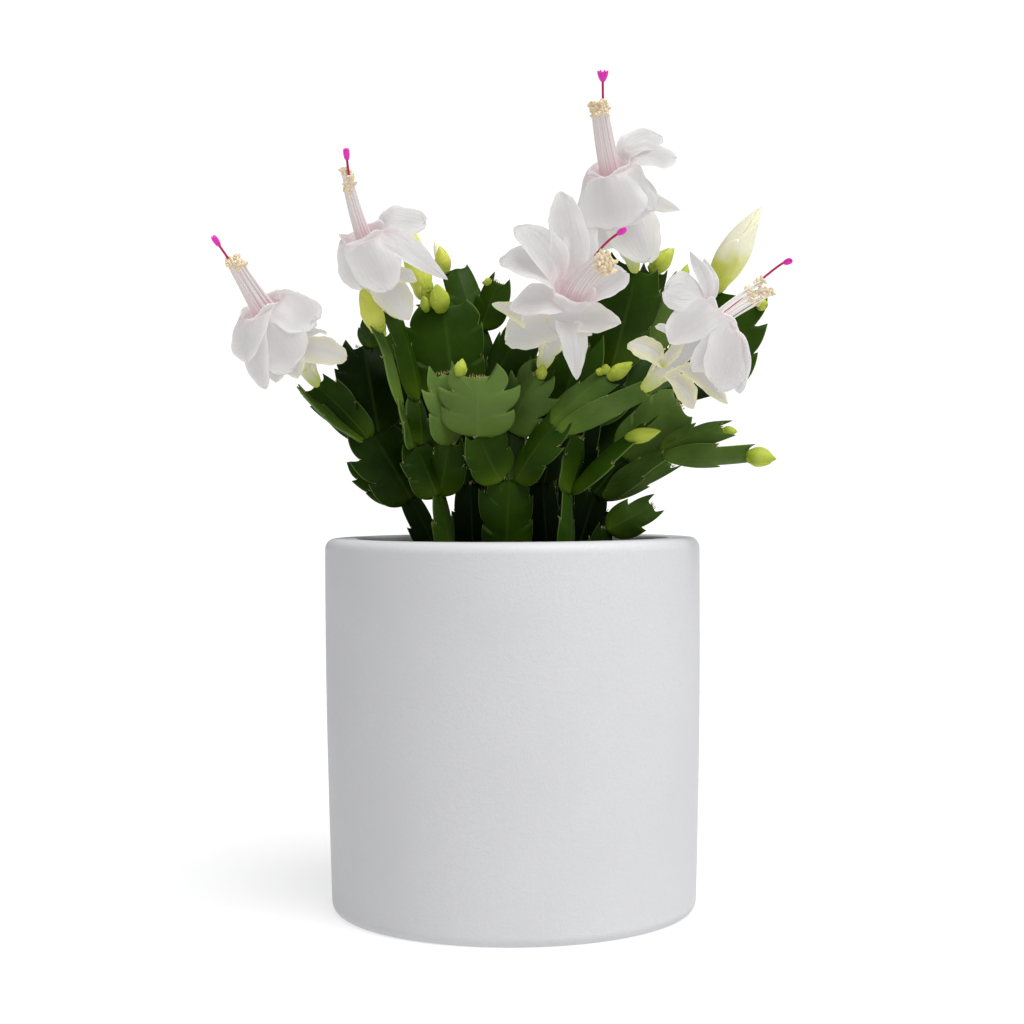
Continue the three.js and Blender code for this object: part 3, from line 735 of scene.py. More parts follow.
@dataclass(frozen=True)
class PetalFinish:
    """White petals with a pink throat, the outer ones tinged with cream and green, glowing in painted
    light.
    """

    white: Colour = (0.622, 0.608, 0.604)
    pink: Colour = (0.64, 0.42, 0.44)
    cream: Colour = (0.62, 0.6, 0.33)
    green: Colour = (0.42, 0.5, 0.06)
    # The colour under the lamps is cut to the kept share, and the glow, painted light standing in for
    # light through the petals, makes up the rest
    kept: Colour = (0.31, 0.31, 0.31)
    glow: float = 0.565
    blush_share: float = 0.62
    tinge_share: float = 0.95
    foot_share: float = 0.9
    tip_share: float = 0.35
    fold_depth: float = 0.6
    streak_depth: float = 0.16
    fine_depth: float = 0.04
    soft: float = 0.6
    soft_radius: Colour = (1.0, 0.9, 0.92)
    soft_scale: float = 3.0

    def material(self) -> Material:
        """Makes the material. The mark "warm" is 0 on inner petals and 1 on the outermost.

        Returns:
            The material.
        """
        g = Graph("white_petal")
        along, across, _ = g.marks("leaf")
        warm = g.mark("warm")
        tone = g.mark("tone")
        streaks = g.streaks((along, 0.7), (across, 9.0), tone, 1.6, 3.0)
        fine = g.streaks((along, 3.0), (across, 42.0), tone, 1.0)
        folds = g.streaks((along, 1.1), (across, 2.4), tone, 1.5)
        blush = g.times(g.ease(along, 0.5, -0.05), g.ease(warm, 1.0, 0.0))
        blush = g.times(blush, g.ease(streaks, 0.1, 0.75))
        colour = g.mix(g.times(blush, self.blush_share), self.white, self.pink)
        tinge = g.times(warm, g.ease(g.math("ABSOLUTE", across), -0.3, 1.0))
        colour = g.mix(g.times(tinge, g.times(warm, self.tinge_share)), colour, self.cream)
        foot = g.times(g.ease(along, 0.3, 0.0), warm)
        colour = g.mix(g.times(foot, self.foot_share), colour, self.green)
        tip = g.times(g.ease(along, 0.9, 1.0), g.times(warm, self.tip_share))
        colour = g.mix(tip, colour, self.cream)
        normal = g.bump(streaks, self.streak_depth, g.bump(fine, self.fine_depth))
        # The petals glow in their own colour: painted light in place of the light that passes through them
        return g.surface(
            g.mix(1.0, colour, self.kept, "MULTIPLY"),
            0.42,
            normal=g.bump(folds, self.fold_depth, normal),
            specular=0.3,
            soft=self.soft,
            soft_radius=self.soft_radius,
            soft_scale=self.soft_scale * MM,
            glow=self.glow,
            glow_colour=colour,
        )


@dataclass(frozen=True)
class BudFinish:
    """The waxy skin of the buds: green at the foot, yellower towards the tip."""

    green: Colour = (0.16, 0.25, 0.01)
    yellow: Colour = (0.39, 0.47, 0.045)
    ripe: Colour = (0.64, 0.67, 0.11)
    pale: Colour = (0.85, 0.84, 0.62)
    patch_scale: float = 150.0
    patch_share: float = 0.5
    margin_share: float = 0.35
    streak_depth: float = 0.12
    fine_scale: float = 900.0
    fine_depth: float = 0.03
    soft: float = 0.25
    soft_radius: Colour = (0.8, 1.0, 0.2)
    soft_scale: float = 2.0

    def material(self) -> Material:
        """Makes the material. The mark "warm" is 0 on green buds, 0.4 on yellow and 1 on cream ones.

        Returns:
            The material.
        """
        g = Graph("bud_skin")
        place = g.place()
        along, across, edge = g.marks("leaf")
        warm = g.mark("warm")
        tone = g.mark("tone")
        share = g.plus(g.ease(along, 0.0, 0.6), g.math("MULTIPLY_ADD", tone, 0.4, -0.12))
        colour = g.mix(share, self.green, self.yellow)
        colour = g.mix(g.times(g.ease(warm, 0.0, 0.5), g.ease(along, -0.2, 0.4)), colour, self.ripe)
        turn = g.plus(along, g.swing(g.noise(place, self.patch_scale), self.patch_share))
        colour = g.mix(g.times(g.ease(warm, 0.5, 1.0), g.ease(turn, 0.24, 0.6)), colour, self.pale)
        colour = g.mix(g.times(g.ease(edge, 0.9, 1.0), self.margin_share), colour, self.pale)
        streaks = g.streaks((along, 2.0), (across, 20.0), tone, 1.0)
        fine = g.bump(g.noise(place, self.fine_scale), self.fine_depth)
        return g.surface(
            colour,
            0.38,
            normal=g.bump(streaks, self.streak_depth, fine),
            specular=0.22,
            # A faint glow: painted light that lightens the buds
            glow=0.1,
            soft=self.soft,
            soft_radius=self.soft_radius,
            soft_scale=self.soft_scale * MM,
        )


@dataclass(frozen=True)
class ThreadFinish:
    """A thread that changes colour from its foot to its end, about the share of its length named turn."""

    name: str
    foot: Colour
    end: Colour
    turn: float
    rough: float
    # A glow above 0 is painted light that lightens the thread
    glow: float = 0.0
    wander_scale: float = 300.0
    wander_share: float = 0.3

    def material(self) -> Material:
        """Makes the material.

        Returns:
            The material.
        """
        g = Graph(self.name)
        place = g.plus(g.mark("along"), g.swing(g.noise(g.place(), self.wander_scale), self.wander_share))
        colour = g.mix(g.ease(place, self.turn - 0.35, self.turn + 0.3), self.foot, self.end)
        return g.surface(colour, self.rough, specular=0.3, glow=self.glow)


@dataclass(frozen=True)
class GrainFinish:
    """Small grains or bristles, each a little lighter or darker than the next."""

    name: str
    dark: Colour
    light: Colour
    rough: float = 0.8
    # A glow above 0 is painted light that lightens the grains
    glow: float = 0.0
    tone_share: float = 0.7
    fine_share: float = 0.3
    fine_scale: float = 2500.0
    fine_depth: float = 0.08

    def material(self) -> Material:
        """Makes the material.

        Returns:
            The material.
        """
        g = Graph(self.name)
        fine = g.noise(g.place(), self.fine_scale)
        share = g.plus(g.times(g.mark("tone"), self.tone_share), g.times(fine, self.fine_share))
        colour = g.mix(share, self.dark, self.light)
        return g.surface(colour, self.rough, normal=g.bump(fine, self.fine_depth), glow=self.glow)


@dataclass(frozen=True)
class FloorFinish:
    """The pale floor, which glows a little, so that shadows on it stay faint."""

    white: Colour = (0.34, 0.34, 0.34)
    shade: float = 0.99
    glow: float = 0.66

    def material(self) -> Material:
        """Makes the material.

        Returns:
            The material.
        """
        g = Graph("pale_floor")
        clouds = g.noise(g.place(), 2.0)
        colour = g.mix(clouds, self.white, tuple(self.shade * share for share in self.white))
        return g.surface(colour, 0.9, specular=0.1, glow=self.glow, glow_colour=(1, 1, 1))


class Palette:
    """Every finish, made once."""

    def __init__(self) -> None:
        """Makes the materials."""
        self.glaze = GlazeFinish().material()
        self.soil = SoilFinish().material()
        self.skin = SkinFinish().material()
        self.petal = PetalFinish().material()
        self.bud = BudFinish().material()
        # The filaments, the pollen and the stigma glow: painted light that lightens them
        self.filament = ThreadFinish(
            "filament", (0.5, 0.34, 0.37), (0.47, 0.425, 0.42), turn=0.3, rough=0.5, glow=0.5
        ).material()
        self.loose_filament = ThreadFinish(
            "loose_filament", (0.5, 0.45, 0.46), (0.57, 0.55, 0.53), turn=0.3, rough=0.5, glow=0.56
        ).material()
        self.style = ThreadFinish(
            "style", (0.5, 0.05, 0.13), (0.42, 0.004, 0.07), turn=0.5, rough=0.35
        ).material()
        self.anther = GrainFinish("pollen", (0.56, 0.45, 0.28), (0.68, 0.6, 0.44), glow=0.22).material()
        self.stigma = GrainFinish(
            "stigma", (0.6, 0.01, 0.34), (0.8, 0.03, 0.5), rough=0.4, glow=0.1
        ).material()
        self.bristle = GrainFinish("bristle", (0.3, 0.2, 0.07), (0.72, 0.56, 0.27)).material()


# The segments of the plant


@dataclass(frozen=True)
class Outline:
    """Half the outline of a segment, from its foot over its teeth to the notch at its end.

    Each stretch is a rounded line with the number of steps along it: where it starts, the point that
    pulls it outwards and where it ends. A point is its share of the length, its share of the half width
    and where the rib to it leaves the midrib. The outline ends on the midrib, and its last stretch stays
    below the shoulder. A tooth wanders along the segment and swells by shares of its own draw.
    """

    stretches: tuple
    end: float = 0.9
    shoulder: float = 0.86
    wander: float = 0.09
    swelling: float = 0.14

    def notches(self) -> list[int]:
        """The rows of the deepest points of its notches."""
        return [int(row) for row in np.cumsum([stretch[0] for stretch in self.stretches])[1:-1:2]]

    def rows(self, last_tooth: tuple[float, float], change: list[float], cut: float) -> Array:
        """The outline's points.

        Args:
            last_tooth: The tip of the last tooth.
            change: How far each tooth wanders, from -0.5 to 0.5.
            cut: How deep the notches under the teeth are, with 1 as they are listed.

        Returns:
            One row for each point: share of length, share of half width and foot of the rib.
        """
        rows = [np.zeros((1, 3))]
        last = len(self.stretches) - 1
        for k, (steps, start, pull, end) in enumerate(self.stretches):
            start, pull, end = (np.array(point, float) for point in (start, pull, end))
            if k % 2 and k < last:
                pull = start + (pull - start) * cut
                end = start + (end - start) * cut
            elif 0 < k < last:
                peak = np.array(self.stretches[k - 1][1], float)
                start = peak + (start - peak) * cut
            if k >= last - 1:
                tip = start if k == last else end
                tip[:2] = last_tooth
                pull[1] = min(pull[1], self.shoulder)
            shift = change[k // 2]
            t = np.linspace(0, 1, steps + 1)[1:, None]
            line = (1 - t) ** 2 * start + 2 * t * (1 - t) * pull + t * t * end
            swell = line[:, 1] / (line[:, 1] + 0.2)
            line[:, 0] += self.wander * shift * swell
            line[:, 1] *= 1 + self.swelling * shift * swell
            rows.append(line)
        rows.append(np.array([[self.end, 0.0, self.end]]))
        return np.concatenate(rows)


BROAD = Outline(
    (
        (13, (0.0, 0.07, 0.0), (0.05, 1.08, 0.06), (0.45, 0.93, 0.27)),
        (3, (0.45, 0.93, 0.27), (0.41, 0.84, 0.3), (0.405, 0.74, 0.33)),
        (9, (0.405, 0.74, 0.33), (0.5, 1.06, 0.42), (0.76, 1.02, 0.54)),
        (3, (0.76, 1.02, 0.54), (0.71, 0.86, 0.57), (0.705, 0.71, 0.6)),
        (9, (0.705, 0.71, 0.6), (0.84, 0.92, 0.64), (1.04, 0.62, 0.68)),
        (8, (1.04, 0.62, 0.68), (0.85, 0.48, 0.74), (0.895, 0.06, 0.88)),
    )
)
NARROW = Outline(
    (
        (18, (0.0, 0.08, 0.0), (0.1, 1.22, 0.08), (0.59, 1.0, 0.4)),
        (4, (0.59, 1.0, 0.4), (0.56, 0.88, 0.43), (0.555, 0.76, 0.46)),
        (15, (0.555, 0.76, 0.46), (0.78, 1.04, 0.56), (1.04, 0.66, 0.64)),
        (8, (1.04, 0.66, 0.64), (0.85, 0.52, 0.74), (0.895, 0.06, 0.88)),
    )
)

# The tip of the last tooth on a segment that carries a bud or bloom, and on one that ends round
LOW_TOOTH = (0.95, 0.74)
ROUND_TOOTH = (0.92, 0.6)

# Segments whose notches are deeper or shallower than the others', and those that end round
NOTCHES = {
    "a4": 1.3, "a5": 1.2, "a8": 0.3, "c2": 0.4, "d2": 0.35, "e3": 0.3, "e6": 1.2, "e9": 1.05, "f2": 0.2,
    "f5": 1.3, "h1": 1.2,
}
BLUNT = ("f2", "d2")


@dataclass
class Segment:
    """One flat segment of a stem, from its foot to its end.

    Turn is in degrees about its length, bow is how far it arches as a share of its length, and laden says
    whether it carries a bud or bloom. Half thicknesses are at the midrib, at the margin before it rounds
    off and at the neck. The next piece grows from its seat, and buds and blooms are sunk a little there.
    """

    name: str
    foot: Array
    tip: Array
    width: float
    turn: float
    bow: float
    order: int
    laden: bool
    midrib: float = 1.15
    margin: float = 0.62
    neck: float = 1.5
    cup: float = 0.25
    twist: float = 0.5
    seat_place: float = 0.86
    seat_spread: float = 0.34
    sunk: float = 0.3
    broad_from: float = 15.5
    tuft: int = 3
    fringe: int = 22

    def __post_init__(self) -> None:
        """Works out how the segment stands."""
        self.outline = BROAD if self.width >= self.broad_from else NARROW
        self.length = float(np.linalg.norm(self.tip - self.foot))
        self.half = self.width / 2
        self.axis = unit(self.tip - self.foot)
        self.face = turned(square_to(FRONT, self.axis), self.axis, math.radians(self.turn))
        self.wind = self.twist * (draw(self.order) - 0.5)
        self.roof = self.cup * (0.6 + 0.9 * draw(self.order + 51)) * float(np.sign(self.bow))

    def at(self, u: Array | float, v: Array | float, lift: Array | float = 0.0) -> Array:
        """Points of the segment's middle surface, or above it.

        Args:
            u: Shares of its length.
            v: Shares of its half width.
            lift: Heights above the middle surface.

        Returns:
            The points.
        """
        u, v, lift = (np.asarray(value, float) for value in (u, v, lift))
        face = turned(self.face, self.axis, self.wind * (u - 0.5))
        across = np.cross(self.axis, face)
        rise = self.length * self.bow * 4 * u * (1 - u) - self.half * self.roof * np.abs(v) ** 1.3 + lift
        middle = self.foot + self.axis * (self.length * u)[..., None]
        return middle + across * (self.half * v)[..., None] + face * rise[..., None]

    def seat(self, place: float) -> Array:
        """The point that the next piece grows from, at a place across the end, with 0 for its middle."""
        return self.at(self.seat_place, place * self.seat_spread)

    def socket(self, place: float, tip: Array) -> Array:
        """The foot of a bud or bloom that reaches to a tip."""
        end = self.seat(place)
        return end - unit(tip - end) * self.sunk

    def edge(self, side: int) -> Array:
        """The outline on one side, -1 or 1, a little different on each segment.

        Args:
            side: Which side.

        Returns:
            One row for each point, as Outline.rows gives them.
        """
        change = [draw(self.order * 40 + (side + 2) * 20 + k) - 0.5 for k in (1, 2, 3)]
        cut = NOTCHES.get(self.name, 0.15 + 0.85 * draw(self.order * 7 + side * 3.3))
        horn = (1.0 + 0.07 * draw(self.order * 3 + side), 0.44 + 0.24 * draw(self.order * 5 + side * 2))
        last_tooth = ROUND_TOOTH if self.name in BLUNT else LOW_TOOTH if self.laden else horn
        return self.outline.rows(last_tooth, change, cut)

    def build(self, blade: Blade) -> Piece:
        """The segment as a copy of the master blade.

        Args:
            blade: The master.

        Returns:
            The copy.
        """
        edges = {side: self.edge(side) for side in (-1, 1)}
        count = len(edges[1])
        row = np.clip(blade.station, 0, count - 1)
        left = blade.across < 0
        edge = np.where(left[:, None], edges[-1][row], edges[1][row])
        share = np.abs(blade.across)
        u = edge[:, 2] + (edge[:, 0] - edge[:, 2]) * share**1.25
        v = edge[:, 1] * share * np.sign(blade.across)
        waves = [draw(self.order * 7 + k) for k in range(4)]
        thick = self.midrib + (self.margin - self.midrib) * share**1.5
        thick += (self.neck - self.midrib) * np.exp(-((u / 0.12) ** 2)) * (1 - share)
        ends = np.clip(np.minimum(u / 0.03, 1), 0.25, 1)
        middle = 0.35 * np.sin(math.tau * (1.4 * u + waves[0])) * v
        middle += 0.4 * (waves[1] - 0.3) * np.sin(math.tau * (2.2 * u + waves[2])) * v * v
        middle += self.half * 0.05 * (waves[3] - 0.4) * np.abs(v) ** 3
        points = self.at(u, v, blade.out * thick * ends + middle)
        leaf = np.stack([u, v, share], axis=1)
        return blade.copy(points, leaf, self.tone())

    def tone(self) -> float:
        """How light its green is: painted shade makes the segments low down and at the back the darkest.

        Returns:
            A number from 0, the darkest, to 1.
        """
        if self.name in PAINTED_SHADE_AND_SHEEN:
            return PAINTED_SHADE_AND_SHEEN[self.name]
        # Painted shade: segments at the back and low down get a darker green, and the draw adds a random
        # difference
        middle = (self.foot + self.tip) / 2
        ahead = clamped((-middle[1] - 4) / 34)
        height = clamped((middle[2] - 150) / 60)
        return 0.12 + 0.62 * ahead * (0.45 + 0.55 * height) + 0.3 * (draw(self.order + 300) - 0.3)

    def areoles(self) -> list[tuple[Array, Array]]:
        """Foot and direction of each bristle: a few in each notch and a row along the end.

        Returns:
            One pair for each bristle.
        """
        bristles = []
        for side in (-1, 1):
            edge = self.edge(side)
            for row in self.outline.notches():
                u, v, _ = edge[row]
                for k in range(self.tuft):
                    aim = 0.9 * (draw(self.order * 9 + row + k) - 0.5)
                    foot = self.at(u - 0.004, side * (v - 0.03), 0.3 * (k - 1))
                    ahead = self.at(u + 0.06, side * (v + 0.06), 1.2 * (k - 1) + aim)
                    bristles.append((foot, unit(ahead - foot)))
        if not self.laden:
            spread = 0.2 + 0.16 * draw(self.order + 77)
            for k in range(self.fringe):
                v = spread * (2 * draw(self.order * 31 + k) - 1)
                u = 0.898 + 0.035 * abs(v)
                lift = 0.7 * (2 * draw(self.order * 17 + k) - 1)
                foot = self.at(u - 0.012, v, lift)
                ahead = self.at(u + 0.05, v + 0.12 * (draw(k + self.order) - 0.5), 2.6 * lift)
                bristles.append((foot, unit(ahead - foot)))
        return bristles


SegmentRow = tuple[str, str, float, float, float, float, float, float, float]


@dataclass(frozen=True)
class StemPlan:
    """A stem: where it stands in the soil, and its segments.

    A segment's row is its name, the one it grows from, its place across that one's end, its tip's
    x, z and y, its width, its turn in degrees about its own length and its bow.
    """

    name: str
    root: tuple[float, float]
    rows: tuple[SegmentRow, ...]


STEMS = (
    StemPlan("stem_front", (-3, -20), (
        ("a0", "soil", 0, -2.2, 174, -27, 21, 6, 0.04),
        ("a1", "a0", -0.9, -15.4, 189.5, -36, 19, 12, -0.06),
        ("a2", "a0", 0.9, 18.6, 193.5, -36, 15.5, -24, 0.06),
        ("a3", "a0", 0, -1, 192, -20, 13, 4, 0.0),
        ("a4", "a1", 0, -14.5, 213.5, -41, 31, -4, 0.08),
        ("a5", "a3", -0.2, 11, 213.5, -30, 22, -14, 0.08),
        ("a6", "a3", 0.8, 12.4, 218, -16, 14, 10, 0.04),
        ("a7", "a2", -0.7, 41, 213, -32, 15, -24, 0.05),
        ("a8", "a2", 0.9, 57, 207.6, -48, 9.4, 24, -0.06),
    )),
    StemPlan("stem_front_left", (-25, -16), (
        ("b0", "soil", 0, -30.8, 167.5, -18, 12, 48, 0.03),
        ("b1", "b0", 0.9, -24.8, 187, -27, 15, -18, 0.04),
        ("b2", "b1", 0, -29, 215.5, -31, 22, 46, 0.06),
        ("b3", "b0", -0.9, -41.4, 185.5, -18, 17.5, 22, 0.05),
        ("b4", "b3", -0.6, -46, 202, -24, 11, 76, 0),
        ("b5", "b4", 0, -55.4, 232.5, -17, 13, 78, 0.05),
        ("b6", "b3", 0.8, -39.4, 203, -12, 15.4, 50, 0.04),
        ("b7", "b6", 0, -49.4, 240, -12, 14, 56, 0.05),
    )),
    StemPlan("stem_left", (-28.5, -3), (
        ("c0", "soil", 0, -43.5, 165.5, -4, 12, 16, 0.04),
        ("c1", "c0", 0, -59, 191.5, -8, 26, 14, 0.05),
        ("c2", "c1", 0.6, -61.5, 227, 4, 26, 10, 0.05),
        ("c3", "c1", -0.4, -82, 211, -14, 16.5, -34, -0.05),
        ("c6", "c1", -1.0, -86.4, 207.4, -18, 7.5, 58, -0.05),
        ("c4", "c0", -0.9, -63.4, 179, 6, 18, 22, 0.04),
        ("c5", "c2", 0.5, -56.6, 235, 8, 10, 20, 0),
    )),
    StemPlan("stem_middle", (-16, 4), (
        ("d0", "soil", 0, -18, 172, 0, 15, 8, 0.03),
        ("d1", "d0", -0.8, -24.5, 204.5, -6, 15, 10, 0.03),
        ("d2", "d1", 0, -28.6, 243, -4, 30, 2, 0.04),
        ("d3", "d0", 0.9, -12, 206.5, 4, 14, -8, 0.03),
        ("d4", "d3", 0.6, 5.4, 231.5, -8, 22, -20, 0.06),
        ("d5", "d3", -0.4, -15.6, 234, 10, 15, 10, 0.04),
        ("d6", "d5", -0.2, -24, 256.5, 18, 15, 12, 0.05),
        ("d7", "d5", 1.0, -5, 250.5, 6, 15, -12, 0.05),
        ("d8", "d5", -1.0, -38, 243.5, 1, 11, 20, 0.05),
    )),
    StemPlan("stem_right_back", (20, 12), (
        ("e0", "soil", 0, 25, 174, 12, 16, 10, 0.03),
        ("e1", "e0", -0.5, 31, 196, 6, 15, -12, 0.03),
        ("e2", "e1", 0, 41, 217, 2, 16, 10, 0.03),
        ("e3", "e2", -0.3, 50, 259, -6, 27, 12, 0.06),
        ("e4", "e2", 0.8, 58.5, 257, 8, 17, 40, 0.06),
        ("e5", "e1", 1.0, 54.5, 222, 18, 15, -14, 0.04),
        ("e6", "e5", 0, 67.5, 249, 20, 16, 24, 0.06),
        ("e7", "e0", 0.8, 57, 205, 20, 15, 14, 0.03),
        ("e8", "e7", -0.3, 83, 207, 20, 8, 6, 0.04),
        ("e9", "e8", 0.4, 90, 247, 16, 32, -4, 0.05),
    )),
    StemPlan("stem_right", (24, -8), (
        ("f0", "soil", 0, 33, 167.6, -8, 17, 6, 0.03),
        ("f1", "f0", 0, 45.5, 180, -6, 17, -10, 0.03),
        ("f2", "f1", -0.7, 69.5, 201.5, -14, 23, -12, 0.07),
        ("f3", "f1", 0.8, 64, 194, -13, 15, 24, 0.03),
        ("f4", "f0", 1.0, 62.5, 182.5, -25, 10, -24, 0.03),
        ("f5", "f4", -0.8, 86, 190.5, -26, 13, -18, 0.05),
        ("f6", "f4", 0.8, 98.6, 179.6, -34, 10, 44, 0.06),
        ("f7", "f0", 1.0, 66, 177.4, 4, 10, 30, 0.0),
    )),
    StemPlan("stem_right_front", (21, -26), (
        ("g0", "soil", 0, 21.4, 168.5, -26, 11, 56, 0.02),
        ("g1", "g0", -0.9, 27, 188, -23, 15, 62, 0.04),
        ("g2", "g0", 0.9, 48.6, 188.5, -33, 15, -62, 0.06),
    )),
    StemPlan("stem_right_low", (32, -20), (
        ("h0", "soil", 0, 36.5, 151.5, -21, 10, 14, 0.02),
        ("h1", "h0", 0.4, 57.2, 160, -21, 14, 12, 0.07),
    )),
    StemPlan("stem_inner", (14, -4), (
        ("i0", "soil", 0, 10.8, 172.5, -2, 14, 0, 0.03),
        ("i1", "i0", 0, 17, 196, -8, 16, 16, 0.05),
        ("i2", "i1", 0, 30, 227, -12, 23, -10, 0.06),
    )),
    StemPlan("stem_back_left", (-8, 22), (
        ("k0", "soil", 0, -9, 170, 28, 16, -8, -0.04),
        ("k1", "k0", -0.8, -30, 186, 34, 16, -14, -0.05),
        ("k2", "k1", -0.8, -54, 208, 30, 24, -16, -0.06),
        ("k3", "k1", 0.8, -20, 222, 58, 20, 8, -0.05),
        ("k4", "k2", 0, -54, 230, 62, 22, -24, -0.08),
        ("k5", "k0", 0.9, 1, 193, 50, 16, 10, -0.05),
        ("k6", "k5", 0, 9, 223, 62, 25, 6, -0.08),
    )),
    StemPlan("stem_back_right", (16, 28), (
        ("m0", "soil", 0, 18, 169, 36, 16, 8, -0.04),
        ("m1", "m0", 0.7, 36, 189, 44, 17, 18, -0.05),
        ("m2", "m1", 0.8, 56, 203, 48, 19, 24, -0.06),
        ("m3", "m1", -0.8, 33, 216, 60, 20, 6, -0.05),
        ("m4", "m2", 0, 66, 223, 64, 21, 20, -0.08),
        ("m5", "m0", -0.6, 19, 188, 56, 16, -6, -0.06),
        ("m6", "m5", 0, 22, 201, 80, 21, -10, -0.1),
    )),
    StemPlan("stem_back", (-2, 38), (
        ("n0", "soil", 0, -4, 163, 50, 14, -8, -0.05),
        ("n1", "n0", -0.9, -18, 181, 64, 16, -20, -0.08),
        ("n2", "n1", 0, -29, 192, 84, 20, -26, -0.12),
        ("n3", "n0", 0.9, 9, 174, 74, 16, 20, -0.1),
    )),
)

# A segment's green from 0 to 1 where it stands out from its neighbours: partly its own, low values painted
# shade, high ones a painted sheen
PAINTED_SHADE_AND_SHEEN = {
    "a0": 0.4, "a1": 0.42, "a2": 0.38, "a3": 0.16, "a4": 0.95, "a5": 0.82, "a7": 0.74, "a8": 0.8,
    "b0": 0.6, "b1": 0.42, "b2": 0.88, "b3": 0.3, "b4": 0.7, "b5": 0.78, "b6": 0.3, "b7": 0.42,
    "c0": 0.14, "c1": 0.22, "c2": 0.12, "c3": 0.3, "c4": 0.5, "c6": 0.72, "c5": 0.3, "d0": 0.04,
    "d1": 0.1, "d2": 0.38, "d3": 0.1, "d4": 0.3, "d5": 0.26, "d6": 0.4, "d7": 0.42, "d8": 0.4,
    "e0": 0.04, "e1": 0.06, "e2": 0.12, "e3": 0.36, "e4": 0.3, "e6": 0.8, "e9": 0.46, "f0": 0.06,
    "f1": 0.1, "f2": 0.82, "f3": 0.4, "f4": 0.7, "f5": 0.7, "f6": 0.78, "f7": 0.7, "g0": 0.5,
    "g1": 0.55, "g2": 0.36, "h1": 0.62, "i0": 0.03, "i1": 0.05, "i2": 0.44, "k0": 0.05, "k1": 0.08,
    "k4": 0.4, "k5": 0.08, "k6": 0.4, "m0": 0.05, "m1": 0.08, "m2": 0.5, "m4": 0.5, "m5": 0.1,
    "n0": 0.05, "n2": 0.5,
}

# Small buds that grow with their stem: segment, place across its end, tip x, z, y and radius
YOUNG_BUDS = (
    ("a4", -0.9, -20.6, 218.4, -38, 2.5),
    ("a5", 0.3, 11.6, 216, -31, 2.3),
    ("a7", -0.9, 33, 213, -36, 1.6),
    ("a7", -0.5, 37, 215.6, -36, 2.0),
    ("d2", -0.9, -36, 243.5, -10, 2.1),
    ("d7", -0.6, -12.6, 248.5, 10, 1.9),
    ("e9", 1.5, 97.8, 239.5, 12, 2.6),
    ("d8", 0.6, -35.4, 252, -2, 3.2),
    ("b7", -0.5, -53, 244.4, -14, 2.0),
    ("e6", 0, 69.8, 255.8, 18, 2.6),
    ("f5", 0.3, 89.4, 188.4, -26, 2.1),
    ("d6", -0.9, -31.4, 265.6, 20, 2.9),
    ("k3", 0, -20, 231, 56, 2.2),
    ("m6", 0, 23, 204, 88, 2.2),
)

# Where small buds stand on a segment: share of its length, and share of its half width for a place of 1
YOUNG_PLACE = 0.88
YOUNG_SPREAD = 0.5

# How ripe a large bud is, or the small ones on a segment: 0 is green, 0.4 yellow, 1 cream and opening
RIPE = {
    "bud_left": 0.42, "bud_mid_left": 0.4, "bud_pale": 1.0, "bud_top": 0.15, "bud_upper": 0.3, "d6": 1.0,
}

# Large buds: name, segment, place across its end, tip x, z, y and radius
BUDS = (
    ("bud_pale", "e9", -2.0, 99.6, 278.6, 8, 6.6),
    ("bud_left", "b5", 0, -61, 247.8, -18, 4.4),
    ("bud_middle", "d2", -0.1, -31, 248.2, -12, 4.0),
    ("bud_upper", "d6", -1.8, -29.6, 263.4, 12, 3.3),
    ("bud_mid_left", "d8", -0.3, -42.6, 273.4, 3, 5.2),
    ("bud_branch", "a7", 0.3, 47.6, 216.4, -37, 2.9),
    ("bud_fold", "g2", 0, 58.8, 188.8, -36, 3.0),
    ("bud_tip", "f6", 0, 105, 177.4, -38, 3.9),
    ("bud_top", "e4", -0.9, 64.4, 262.2, 4, 3.8),
    ("bud_back", "k4", 0, -58, 244, 70, 3.8),
    ("bud_back_right", "m4", 0, 69, 236, 72, 3.6),
)


PetalRow = tuple[float, float, float, float, float, float, float, float]


class Sheaf(NamedTuple):
    """A sheaf of stamens: its radius in the throat and at the anthers, and its number of filaments.

    Straight is how far the style runs on before it bends to the stigma; uneven is how unlike in length
    the filaments are. Where there are few they stand apart, thinner, about a thinner core.
    """

    near_radius: float
    far_radius: float
    count: int
    straight: float = 0.6
    uneven: float = 0.17

    def loose(self) -> bool:
        """Whether its filaments stand apart."""
        return self.count < 30

    def thread_radii(self) -> tuple[float, float]:
        """The radius of a filament at its foot and at its end."""
        return (0.34, 0.26) if self.loose() else (0.56, 0.42)

    def core_radii(self) -> tuple[float, float]:
        """The radius of the core at its foot and at its end."""
        full = 0.16 if self.loose() else 0.78
        return full * self.near_radius * 0.8, full * self.far_radius


@dataclass(frozen=True)
class BloomPlan:
    """A bloom: the segment it stands on, and where its mouth, its anthers and its stigma are seen.

    A petal's row is where it leaves the tube, from 0 at the foot to 1 at the mouth, its tip's x, z and y,
    its width, how far it arches outwards, how far it is rolled to face the front and how pointed it is,
    with less than 0 for one that widens towards its end.
    """

    name: str
    segment: str
    mouth: tuple[float, float, float]
    anthers: tuple[float, float, float]
    stigma: tuple[float, float, float]
    sheaf: Sheaf
    petals: tuple[PetalRow, ...]
    lobe_spread: float = 0.02


